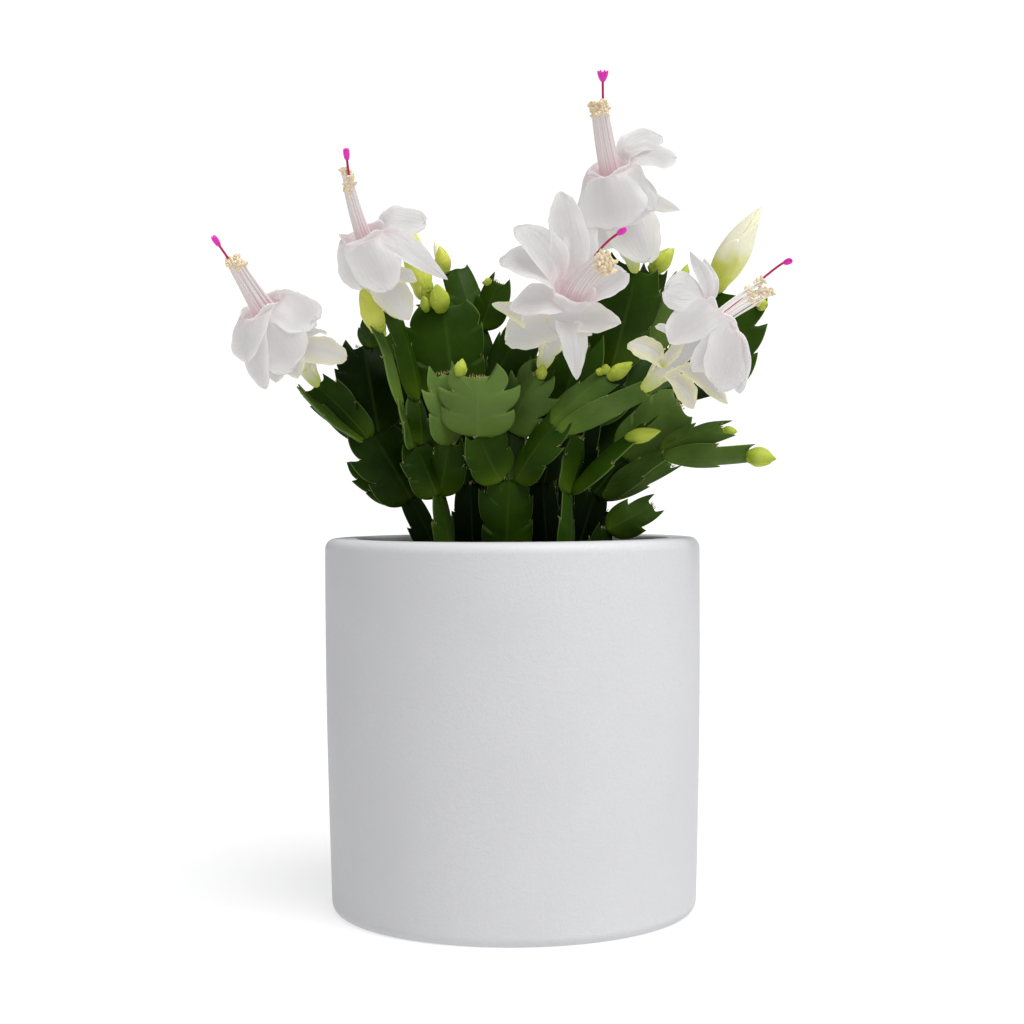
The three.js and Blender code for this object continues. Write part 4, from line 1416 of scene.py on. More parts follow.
BLOOMS = (
    BloomPlan(
        "bloom_left", "c3", (-102, 241.4, -30), (-112, 258, -38), (-119.4, 266.6, -43),
        Sheaf(5.2, 2.5, 40),
        (
            (1, -106.4, 217.4, -41, 22, 0.25, 0, 0.7),
            (1, -100.4, 206, -33, 17, 0.1, 0, 0.5),
            (1, -88, 214.6, -37, 22, 0.06, 0, -0.2),
            (1, -78.8, 233.8, -30, 25, 0.15, 0.2, -0.2),
            (1, -88, 240, -10, 17, 0.35, 0, 0.3),
            (1, -108, 230, -14, 16, 0.35, 0, 0.3),
            (0.44, -66.8, 218.8, -28, 12.5, 0.08, 0.8, 0.15),
            (0.5, -74.6, 229.8, -14, 9, 0.35, 0.5, 0.6),
            (0.5, -96, 209.4, -24, 14, 0.3, 0.4, 0.5),
            (0.45, -86, 210.4, -32, 11, 0.3, 0.4, 0.6),
        ),
    ),
    BloomPlan(
        "bloom_mid_left", "b7", (-61, 270.4, -29), (-66.8, 293.8, -36), (-66.6, 301, -40),
        Sheaf(3.2, 1.9, 30, uneven=0.32),
        (
            (1, -60, 246.6, -35, 19, 0.08, 0, 0.15),
            (1, -50, 245.6, -40, 21, 0.08, 0, 0.25),
            (1, -26.4, 249.4, -34, 15.5, 0.02, 0.6, 1.0),
            (1, -35, 273, -24, 12.5, -0.28, 0.9, -0.2),
            (1, -42, 264, -8, 15, 0.3, 0, 0.3),
            (1, -66, 253, -14, 15, 0.15, 0, 0.3),
            (0.45, -42, 233.8, -33, 15, 0.3, 0.6, 0.6),
            (0.5, -38.6, 249, -26, 9, 0.3, 0.6, 0.6),
            (0.4, -42, 250, -4, 10, 0.3, 0.3, 0.5),
        ),
    ),
    BloomPlan(
        "bloom_centre", "a6", (25, 247, -42), (38, 256.6, -58), (43.6, 268.8, -66),
        Sheaf(4.8, 4.0, 50, straight=0.95),
        (
            (1, 19.4, 284.8, -33, 16, 0.15, 0.5, 0.45),
            (1, 1.6, 271.6, -43, 16.5, 0.15, 0.5, 0.2),
            (1, -5.4, 258.2, -44, 17, 0.15, 0.5, 0.25),
            (1, 29, 278.6, -30, 14, 0.15, 0.5, 0.6),
            (1, 45.8, 252, -46, 14.5, 0.15, 0.5, 0.05),
            (0.85, -1.6, 237.4, -46, 15, 0.2, 0.7, 0.6),
            (0.62, 42.8, 231.8, -47, 15, 0.12, 0.85, 0.6),
            (0.7, 25, 209.6, -50, 11.5, 0.2, 0.8, 0.7),
            (0.55, -3.4, 225.4, -38, 16, 0.25, 0.8, 0.0),
            (0.35, -8.4, 240.4, -40, 11, 0.3, 0.9, 0.8),
            (0.5, 31, 228, -24, 10, 0.3, 0.4, 0.5),
        ),
    ),
    BloomPlan(
        "bloom_top", "e3", (38, 297, -28), (34.6, 319.4, -38), (36.2, 332.4, -42),
        Sheaf(4.1, 2.7, 56),
        (
            (1, 59.6, 307.2, -14, 11.5, -0.15, 0.8, 0.0),
            (1, 65.6, 298, -20, 12.5, -0.1, 0.9, 0.0),
            (1, 41, 270.4, -36, 20, 0.03, 0, -1.3),
            (1, 53, 272.6, -30, 15, 0.05, 0, -1.0),
            (1, 57, 279, -24, 16, 0.12, 0, -0.8),
            (1, 31, 272, -25, 13, 0.03, 0, -1.5),
            (1, 33, 278, -4, 15, 0.25, 0, 0.2),
            (1, 50, 282, 2, 14, 0.3, 0, 0.2),
            (0.6, 67.8, 277.4, -18, 11, 0.2, 0.8, 0.9),
            (0.72, 53.6, 256.4, -34, 21, 0.2, 0.6, 0.2),
            (0.66, 36, 261.4, -28, 18, 0.2, 0.5, 0.2),
            (0.4, 55.6, 263.4, 2, 10, 0.3, 0.3, 0.4),
        ),
        lobe_spread=0.32,
    ),
    BloomPlan(
        "bloom_right", "a8", (84.4, 236, -40), (101.8, 246.6, -42), (109, 256, -44),
        Sheaf(2.8, 4.5, 20, straight=1.4, uneven=0.3),
        (
            (1, 70.4, 260.4, -34, 9, 0.1, 0.9, 1.0),
            (1, 76.6, 257.6, -30, 9.5, 0.1, 0.9, 0.9),
            (1, 60.2, 245, -46, 19, 0.2, 0.9, 0.1),
            (1, 61.8, 224.6, -52, 18, 0.15, 0.6, 0.3),
            (1, 90.2, 203.6, -43, 11, 0.05, 0.7, 0.5),
            (1, 81.6, 206, -53, 24, 0.08, 0.6, 0.1),
            (1, 71, 213, -50, 16, 0.08, 0.5, 0.4),
            (0.3, 46.2, 224.4, -46, 12, 0.25, 0.9, 0.3),
            (0.35, 85.6, 199.4, -48, 11, 0.15, 0.9, 0.8),
            (0.25, 71.6, 197.6, -48, 11, 0.25, 0.8, 0.3),
            (0.5, 57, 230.8, -32, 8, 0.3, 0.7, 0.3),
        ),
    ),
)


@dataclass
class Soil:
    """The potting soil: a slightly heaped bed and loose crumbs on it."""

    wall: float = 61.3
    low: float = 11.4
    wall_level: float = 132.0
    heap: float = 4.0
    heap_radius: float = 61.7
    lumps: float = 1.3
    rings: int = 22
    steps: int = 72
    crumbs: int = 520
    crumb_reach: float = 58.8

    def level(self, x: float, y: float) -> float:
        """The soil's height at a place."""
        return self.wall_level + self.heap * (1 - min(1.0, math.hypot(x, y) / self.heap_radius) ** 2)

    def build(self, palette: Palette) -> None:
        """Makes the bed and the crumbs.

        Args:
            palette: The finishes.
        """
        reaches = [self.wall * k / self.rings for k in range(self.rings, -1, -1)]
        top = [(reach, self.level(reach, 0)) for reach in reaches]
        bed = spun("soil_bed", [(0, self.low), (self.wall, self.low), *top], self.steps)
        ground = points_of(bed.data) / MM
        lift = [self.lumps * (draw(37.1 * x + 11.7 * y) - 0.5) for x, y, _ in np.round(ground, 2)]
        loose = (ground[:, 2] > self.low + 1) & (np.hypot(ground[:, 0], ground[:, 1]) < self.wall - 1)
        ground[:, 2] += np.where(loose, lift, 0)
        set_points(bed.data, ground)
        set_marks(bed.data, "tone", np.array([draw(k) * 0.5 for k in range(len(ground))]))
        finish_piece(bed, palette.soil, Slot.SOIL, "soil")

        crumb = new_primitive(bpy.ops.mesh.primitive_ico_sphere_add, subdivisions=2, radius=1)
        lump = points_of(crumb.data)
        lump *= np.array([[0.72 + 0.5 * draw(k + 5)] for k in range(len(lump))])
        crumb.data.vertices.foreach_set("co", lump.ravel())
        places = []
        for k in range(self.crumbs):
            reach = self.crumb_reach * math.sqrt(draw(k + 0.5))
            x = reach * math.cos(k * GOLDEN_ANGLE)
            y = reach * math.sin(k * GOLDEN_ANGLE)
            size = 0.6 + 1.7 * draw(k + 900) ** 3
            sizes = size * np.array([1, 0.6 + 0.5 * draw(k + 40), 0.5 + 0.4 * draw(k + 60)])
            along = unit(np.array([draw(k + 70) - 0.5, draw(k + 80) - 0.5, 0.9]))
            places.append(placed(np.array([x, y, self.level(x, y) + 0.2]), along, sizes, k))
        crumbs = scatter("soil_crumbs", crumb, places, [draw(k + 11) for k in range(self.crumbs)])
        finish_piece(crumbs, palette.soil, Slot.SOIL)


@dataclass
class Pot:
    """The plain round pot, turned from one profile."""

    height: float = 146.6
    foot_radius: float = 69.5
    base_radius: float = 72.4
    body_radius: float = 74.5
    taper_top: float = 122.0
    mouth_radius: float = 61.7
    floor: float = 11.0
    rim_drop: float = 4.2
    rim_width: float = 3.6
    lip_drop: float = 1.3
    lip_width: float = 1.0
    foot_lift: float = 4.0
    cove: float = 4.0
    rings: int = 8
    steps: int = 180

    @staticmethod
    def corner(x: float, z: float, w: float, h: float, start: float, end: float, steps: int) -> list:
        """Points of a rounded corner about a centre, from one angle to another in quarter turns."""
        angles = [math.pi / 2 * (start + (end - start) * k / steps) for k in range(steps + 1)]
        return [(x + w * math.cos(a), z + h * math.sin(a)) for a in angles]

    def build(self, palette: Palette) -> None:
        """Makes the pot.

        Args:
            palette: The finishes.
        """
        foot = (self.foot_radius, self.foot_lift, self.base_radius - self.foot_radius, self.foot_lift)
        rim_x, rim_z = self.body_radius - self.rim_width, self.height - self.rim_drop
        lip_x, lip_z = self.mouth_radius + self.lip_width, self.height - self.lip_drop
        cove_x, cove_z = self.mouth_radius - self.cove, self.floor + self.cove
        swell, rise = self.body_radius - self.base_radius, self.taper_top - self.foot_lift
        climb = [k / self.rings for k in range(1, self.rings + 1)]
        wall = [
            (self.base_radius + swell * math.sin(math.pi / 2 * share), self.foot_lift + rise * share)
            for share in climb
        ]
        profile = [
            (0, 0),
            (self.foot_radius * 0.6, 0),
            *self.corner(*foot, -1, 0, 8),
            *wall,
            *self.corner(rim_x, rim_z, self.rim_width, self.rim_drop, 0, 1, 10),
            *self.corner(lip_x, lip_z, self.lip_width, self.lip_drop, 1, 2, 6),
            (self.mouth_radius, self.height / 2),
            *self.corner(cove_x, cove_z, self.cove, self.cove, 0, -1, 4),
            (0, self.floor),
        ]
        pot = spun("glazed_pot", profile, self.steps)
        finish_piece(pot, palette.glaze, Slot.POT, "pot")


def grow(soil: Soil) -> dict[str, Segment]:
    """Every segment of the plant by name, each on the end of the one before it.

    Args:
        soil: The soil that the stems stand in.

    Returns:
        The segments by their names.
    """
    laden = {row[1] for row in BUDS} | {bloom.segment for bloom in BLOOMS}
    segments: dict[str, Segment] = {}
    for stem in STEMS:
        x, y = stem.root
        for name, parent, seat, tip_x, tip_z, tip_y, width, turn, bow in stem.rows:
            if parent == "soil":
                foot = np.array([x, y, soil.level(x, y) + 0.5])
            else:
                foot = segments[parent].seat(seat)
            order = len(segments) + 1
            tip = EYE.sighted(tip_x, tip_z, tip_y)
            segments[name] = Segment(name, foot, tip, width, turn, bow, order, name in laden)
    return segments


def turned_form(
    blade: Blade, foot: Array, axis: Array, profile: Array, tone: float, ribs: float = 0.0
) -> Piece:
    """A closed round form about an axis, as a copy of a blade.

    Args:
        blade: The master.
        foot: Where the axis starts.
        axis: Its direction, at length one.
        profile: Distance along the axis and radius for each of the blade's stations.
        tone: Its tone mark.
        ribs: How far soft ribs stand out, as a share of the radius.

    Returns:
        The form. Its marks along and across follow the axis and the turn about it.
    """
    first = square_to(FRONT, axis)
    ring = around(first, np.cross(first, axis), blade.angle)
    row = profile[blade.station]
    swell = 1 + ribs * np.cos(5 * blade.angle + 2 * row[:, 0] / 9)
    points = foot + axis * row[:, :1] + ring * (row[:, 1] * swell)[:, None]
    along = row[:, 0] / profile[:, 0].max()
    leaf = np.stack([along, blade.angle / math.pi, np.zeros(len(along))], axis=1)
    return blade.copy(points, leaf, tone)


@dataclass
class Stem:
    """A stem of flat segments with its foot in the soil and the bristles in its notches."""

    plan: StemPlan
    segments: dict[str, Segment]
    soil: Soil
    foot_radius: float = 3.4
    foot_rows: tuple = ((-4, 0), (-4, 1), (-2, 1.05), (0, 1), (1.5, 0.8), (3, 0.5), (4.2, 0.2), (4.6, 0))
    bristle_foot: float = 0.13
    bristle_tip: float = 0.03

    def build(self, blade: Blade, palette: Palette) -> None:
        """Makes the stem's pieces.

        Args:
            blade: The master.
            palette: The finishes.
        """
        names = [row[0] for row in self.plan.rows]
        parts = [self.segments[name].build(blade) for name in names]
        x, y = self.plan.root
        steps = np.linspace(0, len(self.foot_rows) - 1, blade.rings + 1)
        knots = [(k, height, share * self.foot_radius) for k, (height, share) in enumerate(self.foot_rows)]
        profile = smooth_curve(knots, steps)
        profile[:, 1] = np.maximum(profile[:, 1], 0)
        foot = np.array([x, y, self.soil.level(x, y)])
        parts.append(turned_form(blade, foot, np.array([0.0, 0.0, 1.0]), profile, 0.1, 0.08))
        stem = joined(self.plan.name + "_segments", parts)
        finish_piece(stem, palette.skin, Slot.PAD, self.plan.name)
        self.bristles(names, palette)

    def bristles(self, names: list[str], palette: Palette) -> None:
        """Makes the short tan bristles.

        Args:
            names: The names of the stem's segments.
            palette: The finishes.
        """
        size = {"radius1": self.bristle_foot, "radius2": self.bristle_tip, "depth": 1}
        cone = new_primitive(bpy.ops.mesh.primitive_cone_add, vertices=4, location=(0, 0, 0.5), **size)
        bpy.ops.object.transform_apply(location=True)
        places, tones = [], []
        for name in names:
            for k, (foot, ahead) in enumerate(self.segments[name].areoles()):
                length = 0.8 + 1.0 * draw(k + self.segments[name].order * 3)
                places.append(placed(foot, ahead, np.array([1, 1, length]), k))
                tones.append(draw(k + 4))
        tufts = scatter(self.plan.name + "_bristles", cone, places, tones)
        finish_piece(tufts, palette.bristle, Slot.STAMEN)


@dataclass
class Bud:
    """A bud: a smooth body wrapped in a few overlapping tepals."""

    foot: Array
    tip: Array
    radius: float
    order: int
    warm: float = 0.0
    tepals: int = 8
    skin: float = 0.05
    rows: tuple = ((0, 0.0), (0.03, 0.3), (0.2, 0.72), (0.42, 0.92), (0.68, 0.7), (0.88, 0.32), (1, 0.0))

    def radius_at(self, share: Array) -> Array:
        """The body's radius at shares of its length."""
        return np.maximum(self.radius * smooth_curve(list(self.rows), share)[:, 0], 0)

    def build(self, blade: Blade) -> list[Piece]:
        """Makes the body and its tepals.

        Args:
            blade: The master.

        Returns:
            The body first, then the tepals.
        """
        length = float(np.linalg.norm(self.tip - self.foot))
        axis = unit(self.tip - self.foot)
        share = 0.5 - 0.5 * np.cos(np.linspace(0, math.pi, blade.rings + 1))
        profile = np.stack([share * length, self.radius_at(share) * 0.95], axis=1)
        body = turned_form(blade, self.foot, axis, profile, draw(self.order), 0.02)
        parts = [body, *(self.tepal(blade, axis, length, k) for k in range(self.tepals))]
        for part in parts:
            set_marks(part.data, "warm", np.full(len(part.data.vertices), self.warm))
        return parts

    def tepal(self, blade: Blade, axis: Array, length: float, k: int) -> Piece:
        """One tepal, laid on the body: the later ones start higher and reach further.

        Args:
            blade: The master.
            axis: The bud's axis, at length one.
            length: The bud's length.
            k: The tepal's number, from 0.

        Returns:
            The tepal.
        """
        stage = k / max(1, self.tepals - 1)
        start, end = 0.02 + 0.34 * stage, 0.42 + 0.57 * stage**0.8
        spread = math.radians(64 - 14 * stage)
        along = blade.station / blade.rings
        share = start + (end - start) * along
        width = smooth_curve([(0, 0.55), (0.3, 0.95), (0.6, 0.95), (0.85, 0.55), (1, 0.0)], along)[:, 0]
        wind = 0.5 * (along - 0.3)
        angle = k * GOLDEN_ANGLE + self.order + wind + spread * np.maximum(width, 0) * blade.across
        first = square_to(FRONT, axis)
        ring = around(first, np.cross(axis, first), angle)
        edge = np.abs(blade.across)
        out = self.radius * (self.skin * (0.6 + 1.1 * along) * (1 - 0.6 * edge**3) + 0.03 * blade.out)
        reach = self.radius_at(share) + out
        points = self.foot + axis * (share * length)[:, None] + ring * reach[:, None]
        leaf = np.stack([share, blade.across, edge], axis=1)
        return blade.copy(points, leaf, draw(self.order * 5 + k))


@dataclass(frozen=True)
class Leaf:
    """How one petal or scale is formed.

    Attributes:
        bend: Where its middle line starts, the two points that pull it, and its tip.
        across: The direction across it.
        width: Its greatest width.
        order: The number that its small differences come from.
        warm: 0 for white, 1 for cream and green.
        keen: 1 where its end is drawn out to a point, 0 where it is round, below 0 where it widens first.
        fold: 0 where it spreads forwards, 1 where it is folded back along the tube.
        facing: How far it is rolled to face the front, instead of clasping the tube.
        cup: How far its sides stand up, as a share of half its width.
        middle: Half its thickness at the middle.
        taper: How much thinner its margin is.
    """

    bend: tuple[Array, Array, Array, Array]
    across: Array
    width: float
    order: int
    warm: float
    keen: float
    fold: float = 0.0
    facing: float = 0.0
    cup: float = 0.22
    middle: float = 0.3
    taper: float = 0.2

    def waves(self) -> list[float]:
        """The draws that its small differences come from."""
        return [draw(self.order * 3 + k) for k in range(5)]

    def line(self, u: Array, v: Array) -> tuple[Array, Array]:
        """Points of its middle line, drawn out where its end is ragged, and the directions along it.

        Args:
            u: Shares of its length.
            v: Shares of its half width.

        Returns:
            The points and the directions.
        """
        start, lip, knee, tip = self.bend
        waves = self.waves()
        t = u[:, None]
        line = start * (1 - t) ** 3 + lip * 3 * t * (1 - t) ** 2 + knee * 3 * t * t * (1 - t) + tip * t**3
        ahead = unit((lip - start) * (1 - t) ** 2 + (knee - lip) * 2 * t * (1 - t) + (tip - knee) * t * t)
        jag = np.sin(math.tau * (0.9 * v + waves[0])) + 0.7 * np.sin(math.tau * (2.3 * v + waves[1]))
        ragged = 0.05 * self.width * min(1.6, 1 - self.keen)
        return line + ahead * (ragged * jag * np.abs(v) * u**8)[:, None], ahead

    def half_width(self, u: Array, left: Array) -> Array:
        """Half its width at shares of its length, with a wavy margin that is unlike on the left.

        Args:
            u: Shares of its length.
            left: How far the waves are shifted at each place.

        Returns:
            Half the width at each place.
        """
        fold, keen, waves = self.fold, self.keen, self.waves()
        outline = [(0, 0.55 + 0.35 * fold), (0.15, 0.68 + 0.27 * fold), (0.36, 0.93 + 0.06 * fold)]
        outline += [(0.56, 1.0 - 0.17 * keen), (0.76, 0.93 - 0.35 * keen), (0.9, 0.66 - 0.38 * keen)]
        outline += [(0.97, 0.38 - 0.28 * keen), (1, 0)]
        half = self.width / 2 * np.maximum(smooth_curve(outline, u)[:, 0], 0.0)
        half = half * (1 + 0.045 * np.sin(math.tau * (2.6 * u + waves[0] + left)) * u)
        frill = 0.025 + 0.035 * self.warm
        return half * (1 + frill * np.sin(math.tau * (6.3 * u + waves[1] + left)) * u * u)

    def rise(self, u: Array, v: Array, left: Array, half: Array) -> Array:
        """How far it stands above its line: cupped and keeled, then wavy, with a curl at its tip.

        Args:
            u: Shares of its length.
            v: Shares of its half width.
            left: How far the waves are shifted at each place.
            half: Half the width at each place.

        Returns:
            The heights.
        """
        waves, flat = self.waves(), 1 - self.fold
        keel = np.abs(v) * np.sin(math.pi * u)
        rise = half * self.cup * flat * v * v + (0.10 + 0.14 * waves[4]) * flat * half * keel
        rise += 0.7 * np.sin(math.tau * (1.3 * u + waves[0])) * v * np.abs(v) * u * (1 - 0.5 * self.fold)
        rise += 0.5 * np.sin(math.tau * (2.7 * u + waves[1] + left + 0.2 * v)) * v * v
        rise += 0.2 * np.cos(3 * math.pi * v + 2 * waves[2]) * np.sin(math.pi * u) * self.width / 14
        return rise + 2.2 * (waves[2] - 0.65) * u**4

    def ridge(self, u: Array, v: Array, half: Array) -> Array:
        """How far it stands off the tube where it is folded back: a crease, a second one and pleats.

        Args:
            u: Shares of its length.
            v: Shares of its half width.
            half: Half the width at each place.

        Returns:
            The heights.
        """
        fold, waves, grown = self.fold, self.waves(), np.sqrt(u)
        crease = 0.6 * (waves[2] - 0.5)
        peak = 0.6 - 1.5 * np.abs(v - crease)
        ridge = fold * (0.1 + 0.2 * waves[4]) * half * peak * grown * (1 - 0.8 * u * u)
        second = np.abs(v + 0.55 * np.sign(crease))
        ridge += fold * (0.9 * np.exp(-6 * second) * grown + 0.7 * v * u)
        pleats = 0.5 - np.abs(np.sin(math.pi * (1.2 * v + waves[1])))
        return ridge + fold * (0.1 - 0.06 * min(0.0, self.keen)) * half * pleats * grown * (1 - 0.5 * u)


@dataclass
class Bloom:
    """An open bloom: a tube with petals in two tiers, stamens with pollen, and a style with its stigma."""

    plan: BloomPlan
    segments: dict[str, Segment]
    order: int
    tube_rows: tuple = ((0, 1.1), (0.09, 2.9), (0.45, 4.0), (0.8, 6.2), (1, 9.3))
    throat_depth: float = 9.0
    sunk: float = 0.6
    overlap: float = 2.5
    ragged: float = 0.9
    least_radius: float = 3.0
    scales: int = 4
    scale_width: float = 5.5
    sheaf_gap: float = 0.35
    sheaf_rows: int = 12
    anther_size: tuple[float, float, float] = (0.72, 0.6, 1.35)
    style_rows: int = 26
    style_radius: float = 0.46
    lobes: int = 7

    def __post_init__(self) -> None:
        """Works out how the bloom stands."""
        self.mouth = EYE.sighted(*self.plan.mouth)
        self.anthers = EYE.sighted(*self.plan.anthers)
        self.stigma = EYE.sighted(*self.plan.stigma)
        self.foot = self.segments[self.plan.segment].socket(0.0, self.mouth)
        self.axis = unit(self.mouth - self.foot)
        self.length = float(np.linalg.norm(self.mouth - self.foot))

    def tube_radius(self, share: float) -> float:
        """The tube's outer radius at a share of its length."""
        table = np.array(self.tube_rows)
        return float(np.interp(share, table[:, 0], table[:, 1]))

    def station(self, share: float) -> Array:
        """The middle of the tube at a share of its length."""
        return self.foot + self.axis * (self.length * share)

    def build(self, blade: Blade, palette: Palette) -> None:
        """Makes the bloom's pieces.

        Args:
            blade: The master.
            palette: The finishes.
        """
        parts = [self.tube(blade)]
        parts += [self.petal(blade, row, self.order * 20 + k) for k, row in enumerate(self.plan.petals)]
        parts += [self.scale(blade, k) for k in range(self.scales)]
        petals = joined(self.plan.name + "_tepals", parts)
        finish_piece(petals, palette.petal, Slot.PETAL, self.plan.name + "_petals")
        self.stamens(palette)
        self.pistil(palette)

    def tube(self, blade: Blade) -> Piece:
        """The tube: its outside, its wavy lip and the wall of its throat.

        Args:
            blade: The master.

        Returns:
            The tube.
        """
        deep = 1 - self.throat_depth / self.length
        rows = [(0, 0), (0.0, 1.1), (0.05, 2.3), (0.16, 3.2), (0.27, 2.9), (0.45, 3.7), (0.8, 6.0)]
        rows += [(0.95, 8.6), (0.96, 8.5), (0.94, 8.2)]
        rows += [((1 + deep) / 2, 6.8), (deep, 5.2), (deep - 0.01, 2.0), (deep - 0.01, 0)]
        steps = np.linspace(0, len(rows) - 1, blade.rings + 1)
        knots = [(k, share * self.length, radius) for k, (share, radius) in enumerate(rows)]
        profile = smooth_curve(knots, steps)
        profile[:, 1] = np.maximum(profile[:, 1], 0)
        profile[[0, -1], 1] = 0
        tube = turned_form(blade, self.foot, self.axis, profile, draw(self.order), 0.05)
        share = profile[blade.station, 0] / self.length
        wave = np.sin(3 * blade.angle + self.order) + 0.7 * np.sin(5 * blade.angle + 2.1 * self.order)
        peak = wave * np.exp(-(((share - 0.97) / 0.1) ** 2)) * self.ragged
        set_points(tube.data, points_of(tube.data) / MM + self.axis * peak[:, None])
        inside = blade.station >= blade.rings * 0.66
        set_marks(tube.data, "warm", np.where(inside, 0.0, np.clip(1.2 - 1.5 * share, 0.0, 1.0)))
        blush = np.where(inside, 0.0, share)
        leaf = np.stack([blush, blade.angle / math.pi, np.zeros(len(share))], axis=1)
        set_marks(tube.data, "leaf", leaf)
        return tube

    def petal(self, blade: Blade, row: PetalRow, order: int) -> Piece:
        """One petal of the plan.

        Args:
            blade: The master.
            row: Its row in the plan.
            order: The number that its small differences come from.

        Returns:
            The petal.
        """
        leave, tip_x, tip_z, tip_y, width, arch, facing, keen = row
        tip = EYE.sighted(tip_x, tip_z, tip_y)
        root = self.station(leave * 0.97)
        outward = square_to(tip - root, self.axis)
        start = root + outward * (self.tube_radius(leave) - self.sunk)
        reach = float(np.linalg.norm(tip - start))
        forward = float((tip - start) @ self.axis) / reach
        lift = 0.1 + 0.3 * arch + 0.4 * max(0.0, forward)
        open_knee = start + outward * reach * (0.3 + 0.3 * arch) + self.axis * reach * lift
        folded_knee = start + (tip - start) * 0.45 + outward * reach * (0.03 + 0.5 * arch)
        fold = clamped(-1.6 * forward)
        knee = open_knee * (1 - fold) + folded_knee * fold
        lip = start + self.axis * (1.2 + reach * 0.14 * (1 - fold)) + outward * (0.6 + 1.6 * fold)
        start = start - self.axis * self.overlap - outward * self.overlap * 0.25
        natural = unit(np.cross(outward, self.axis))
        seen = unit(np.cross(unit(tip - start), FRONT))
        seen = seen * (-1 if np.dot(seen, natural) < 0 else 1)
        across = unit(natural * (1 - facing) + seen * facing)
        warm = clamped((0.88 - leave) / 0.45) * (0.55 + 0.45 * draw(order) if leave > 0.4 else 1.0)
        bend = (start, lip, knee, tip)
        return self.leaf(blade, Leaf(bend, across, width * 1.1, order, warm, keen, fold, facing))

    def scale(self, blade: Blade, k: int) -> Piece:
        """One of the small green scales low on the tube.

        Args:
            blade: The master.
            k: Its number, from 0 for the lowest.

        Returns:
            The scale.
        """
        leave = 0.1 + 0.05 * k
        side = turned(square_to(FRONT, self.axis), self.axis, k * GOLDEN_ANGLE + self.order)
        start = self.station(leave) + side * (self.tube_radius(leave) - self.sunk)
        tip = self.station(leave + 0.3) + side * (self.tube_radius(leave + 0.3) + 2.2)
        bend = (start, start + (tip - start) * 0.3 + side * 0.8, start + (tip - start) * 0.7 + side, tip)
        across = unit(np.cross(side, self.axis))
        return self.leaf(blade, Leaf(bend, across, self.scale_width, self.order * 9 + k, 1.0, 0.5))

    def leaf(self, blade: Blade, form: Leaf) -> Piece:
        """A petal or scale: wrapped round the tube at its foot and flat at its tip.

        Args:
            blade: The master.
            form: How it is formed.

        Returns:
            The leaf.
        """
        u = 1 - (1 - blade.station / blade.rings) ** 1.4
        v = blade.across
        left = np.where(v < 0, 0.4, 0.0)
        line, ahead = form.line(u, v)
        half = form.half_width(u, left)
        upper = unit(np.cross(form.across, ahead))
        flat = line + form.across * (half * v)[:, None] + upper * form.rise(u, v, left, half)[:, None]

        beside = line - self.foot
        beside = beside - self.axis * (beside @ self.axis)[:, None]
        radius = np.maximum(np.linalg.norm(beside, axis=1), self.least_radius)
        beyond = np.cross(self.axis, beside)
        way = 1.0 if float((beyond @ form.across).sum()) > 0 else -1.0
        swing = np.clip(half * v / radius, -1.5, 1.5)
        swell = 1 + form.ridge(u, v, half) / radius
        turning = beside * np.cos(swing)[:, None] + beyond * (way * np.sin(swing))[:, None]
        wrapped = line - beside + turning * swell[:, None]

        clasp = form.fold * (1 - form.facing)
        hold = ((1 - u) ** 2 * (1 - clasp) + (1 - u**3) * clasp)[:, None]
        thick = (form.middle - form.taper * np.abs(v)) * np.clip(4 * (1 - u) + 0.25, 0, 1)
        points = flat * (1 - hold) + wrapped * hold + upper * (blade.out * thick)[:, None]
        piece = blade.copy(points, np.stack([u, v, np.abs(v)], axis=1), form.waves()[3])
        set_marks(piece.data, "warm", np.full(len(points), form.warm))
        return piece

    def column(self, t: Array, end: Array, straight: float) -> tuple[Array, Array]:
        """A bent line out of the throat.

        Args:
            t: Shares of the line.
            end: Where it ends.
            straight: How far it runs straight on first, as a share of the distance to the anthers.

        Returns:
            The points and the directions there.
        """
        foot = self.station(1 - self.throat_depth / self.length) + self.axis * self.sheaf_gap
        knee = foot + self.axis * np.linalg.norm(self.anthers - foot) * straight
        t = np.asarray(t)[..., None]
        points = foot * (1 - t) ** 2 + knee * 2 * t * (1 - t) + end * t * t
        return points, unit((knee - foot) * (1 - t) + (end - knee) * t)

    def stamens(self, palette: Palette) -> None:
        """Makes the filaments, the thicker core that they stand around, and the anthers on their ends.

        Args:
            palette: The finishes.
        """
        sheaf, rows = self.plan.sheaf, self.sheaf_rows
        share = np.linspace(0, 1, rows)
        paths = []
        for k in range(sheaf.count):
            seed = self.order * 100 + k
            inner = 0.25 + 0.75 * math.sqrt((k + 0.5) / sheaf.count)
            points, ahead = self.column(share * (1.05 - sheaf.uneven * draw(seed)), self.anthers, 0.5)
            side = unit(FRONT - ahead * (ahead @ FRONT)[:, None])
            foot = sheaf.near_radius * inner
            spread = sheaf.far_radius * inner * (0.8 + 0.4 * draw(seed + 57) ** 2)
            near = foot + (spread - foot) * share**0.9
            bend = k * GOLDEN_ANGLE + 0.5 * (draw(seed + 13) - 0.5) * share**2
            paths.append(points + around(side, np.cross(ahead, side), bend) * near[:, None])
        paths.append(self.column(np.linspace(0, 0.94, rows), self.anthers, 0.5)[0])
        radii = np.tile(np.linspace(*sheaf.thread_radii(), rows), (sheaf.count + 1, 1))
        radii[-1] = np.linspace(*sheaf.core_radii(), rows)
        filaments = threads(self.plan.name + "_filaments", np.array(paths), radii, 6)
        finish = palette.loose_filament if sheaf.loose() else palette.filament
        finish_piece(filaments, finish, Slot.STAMEN, self.plan.name + "_stamens")

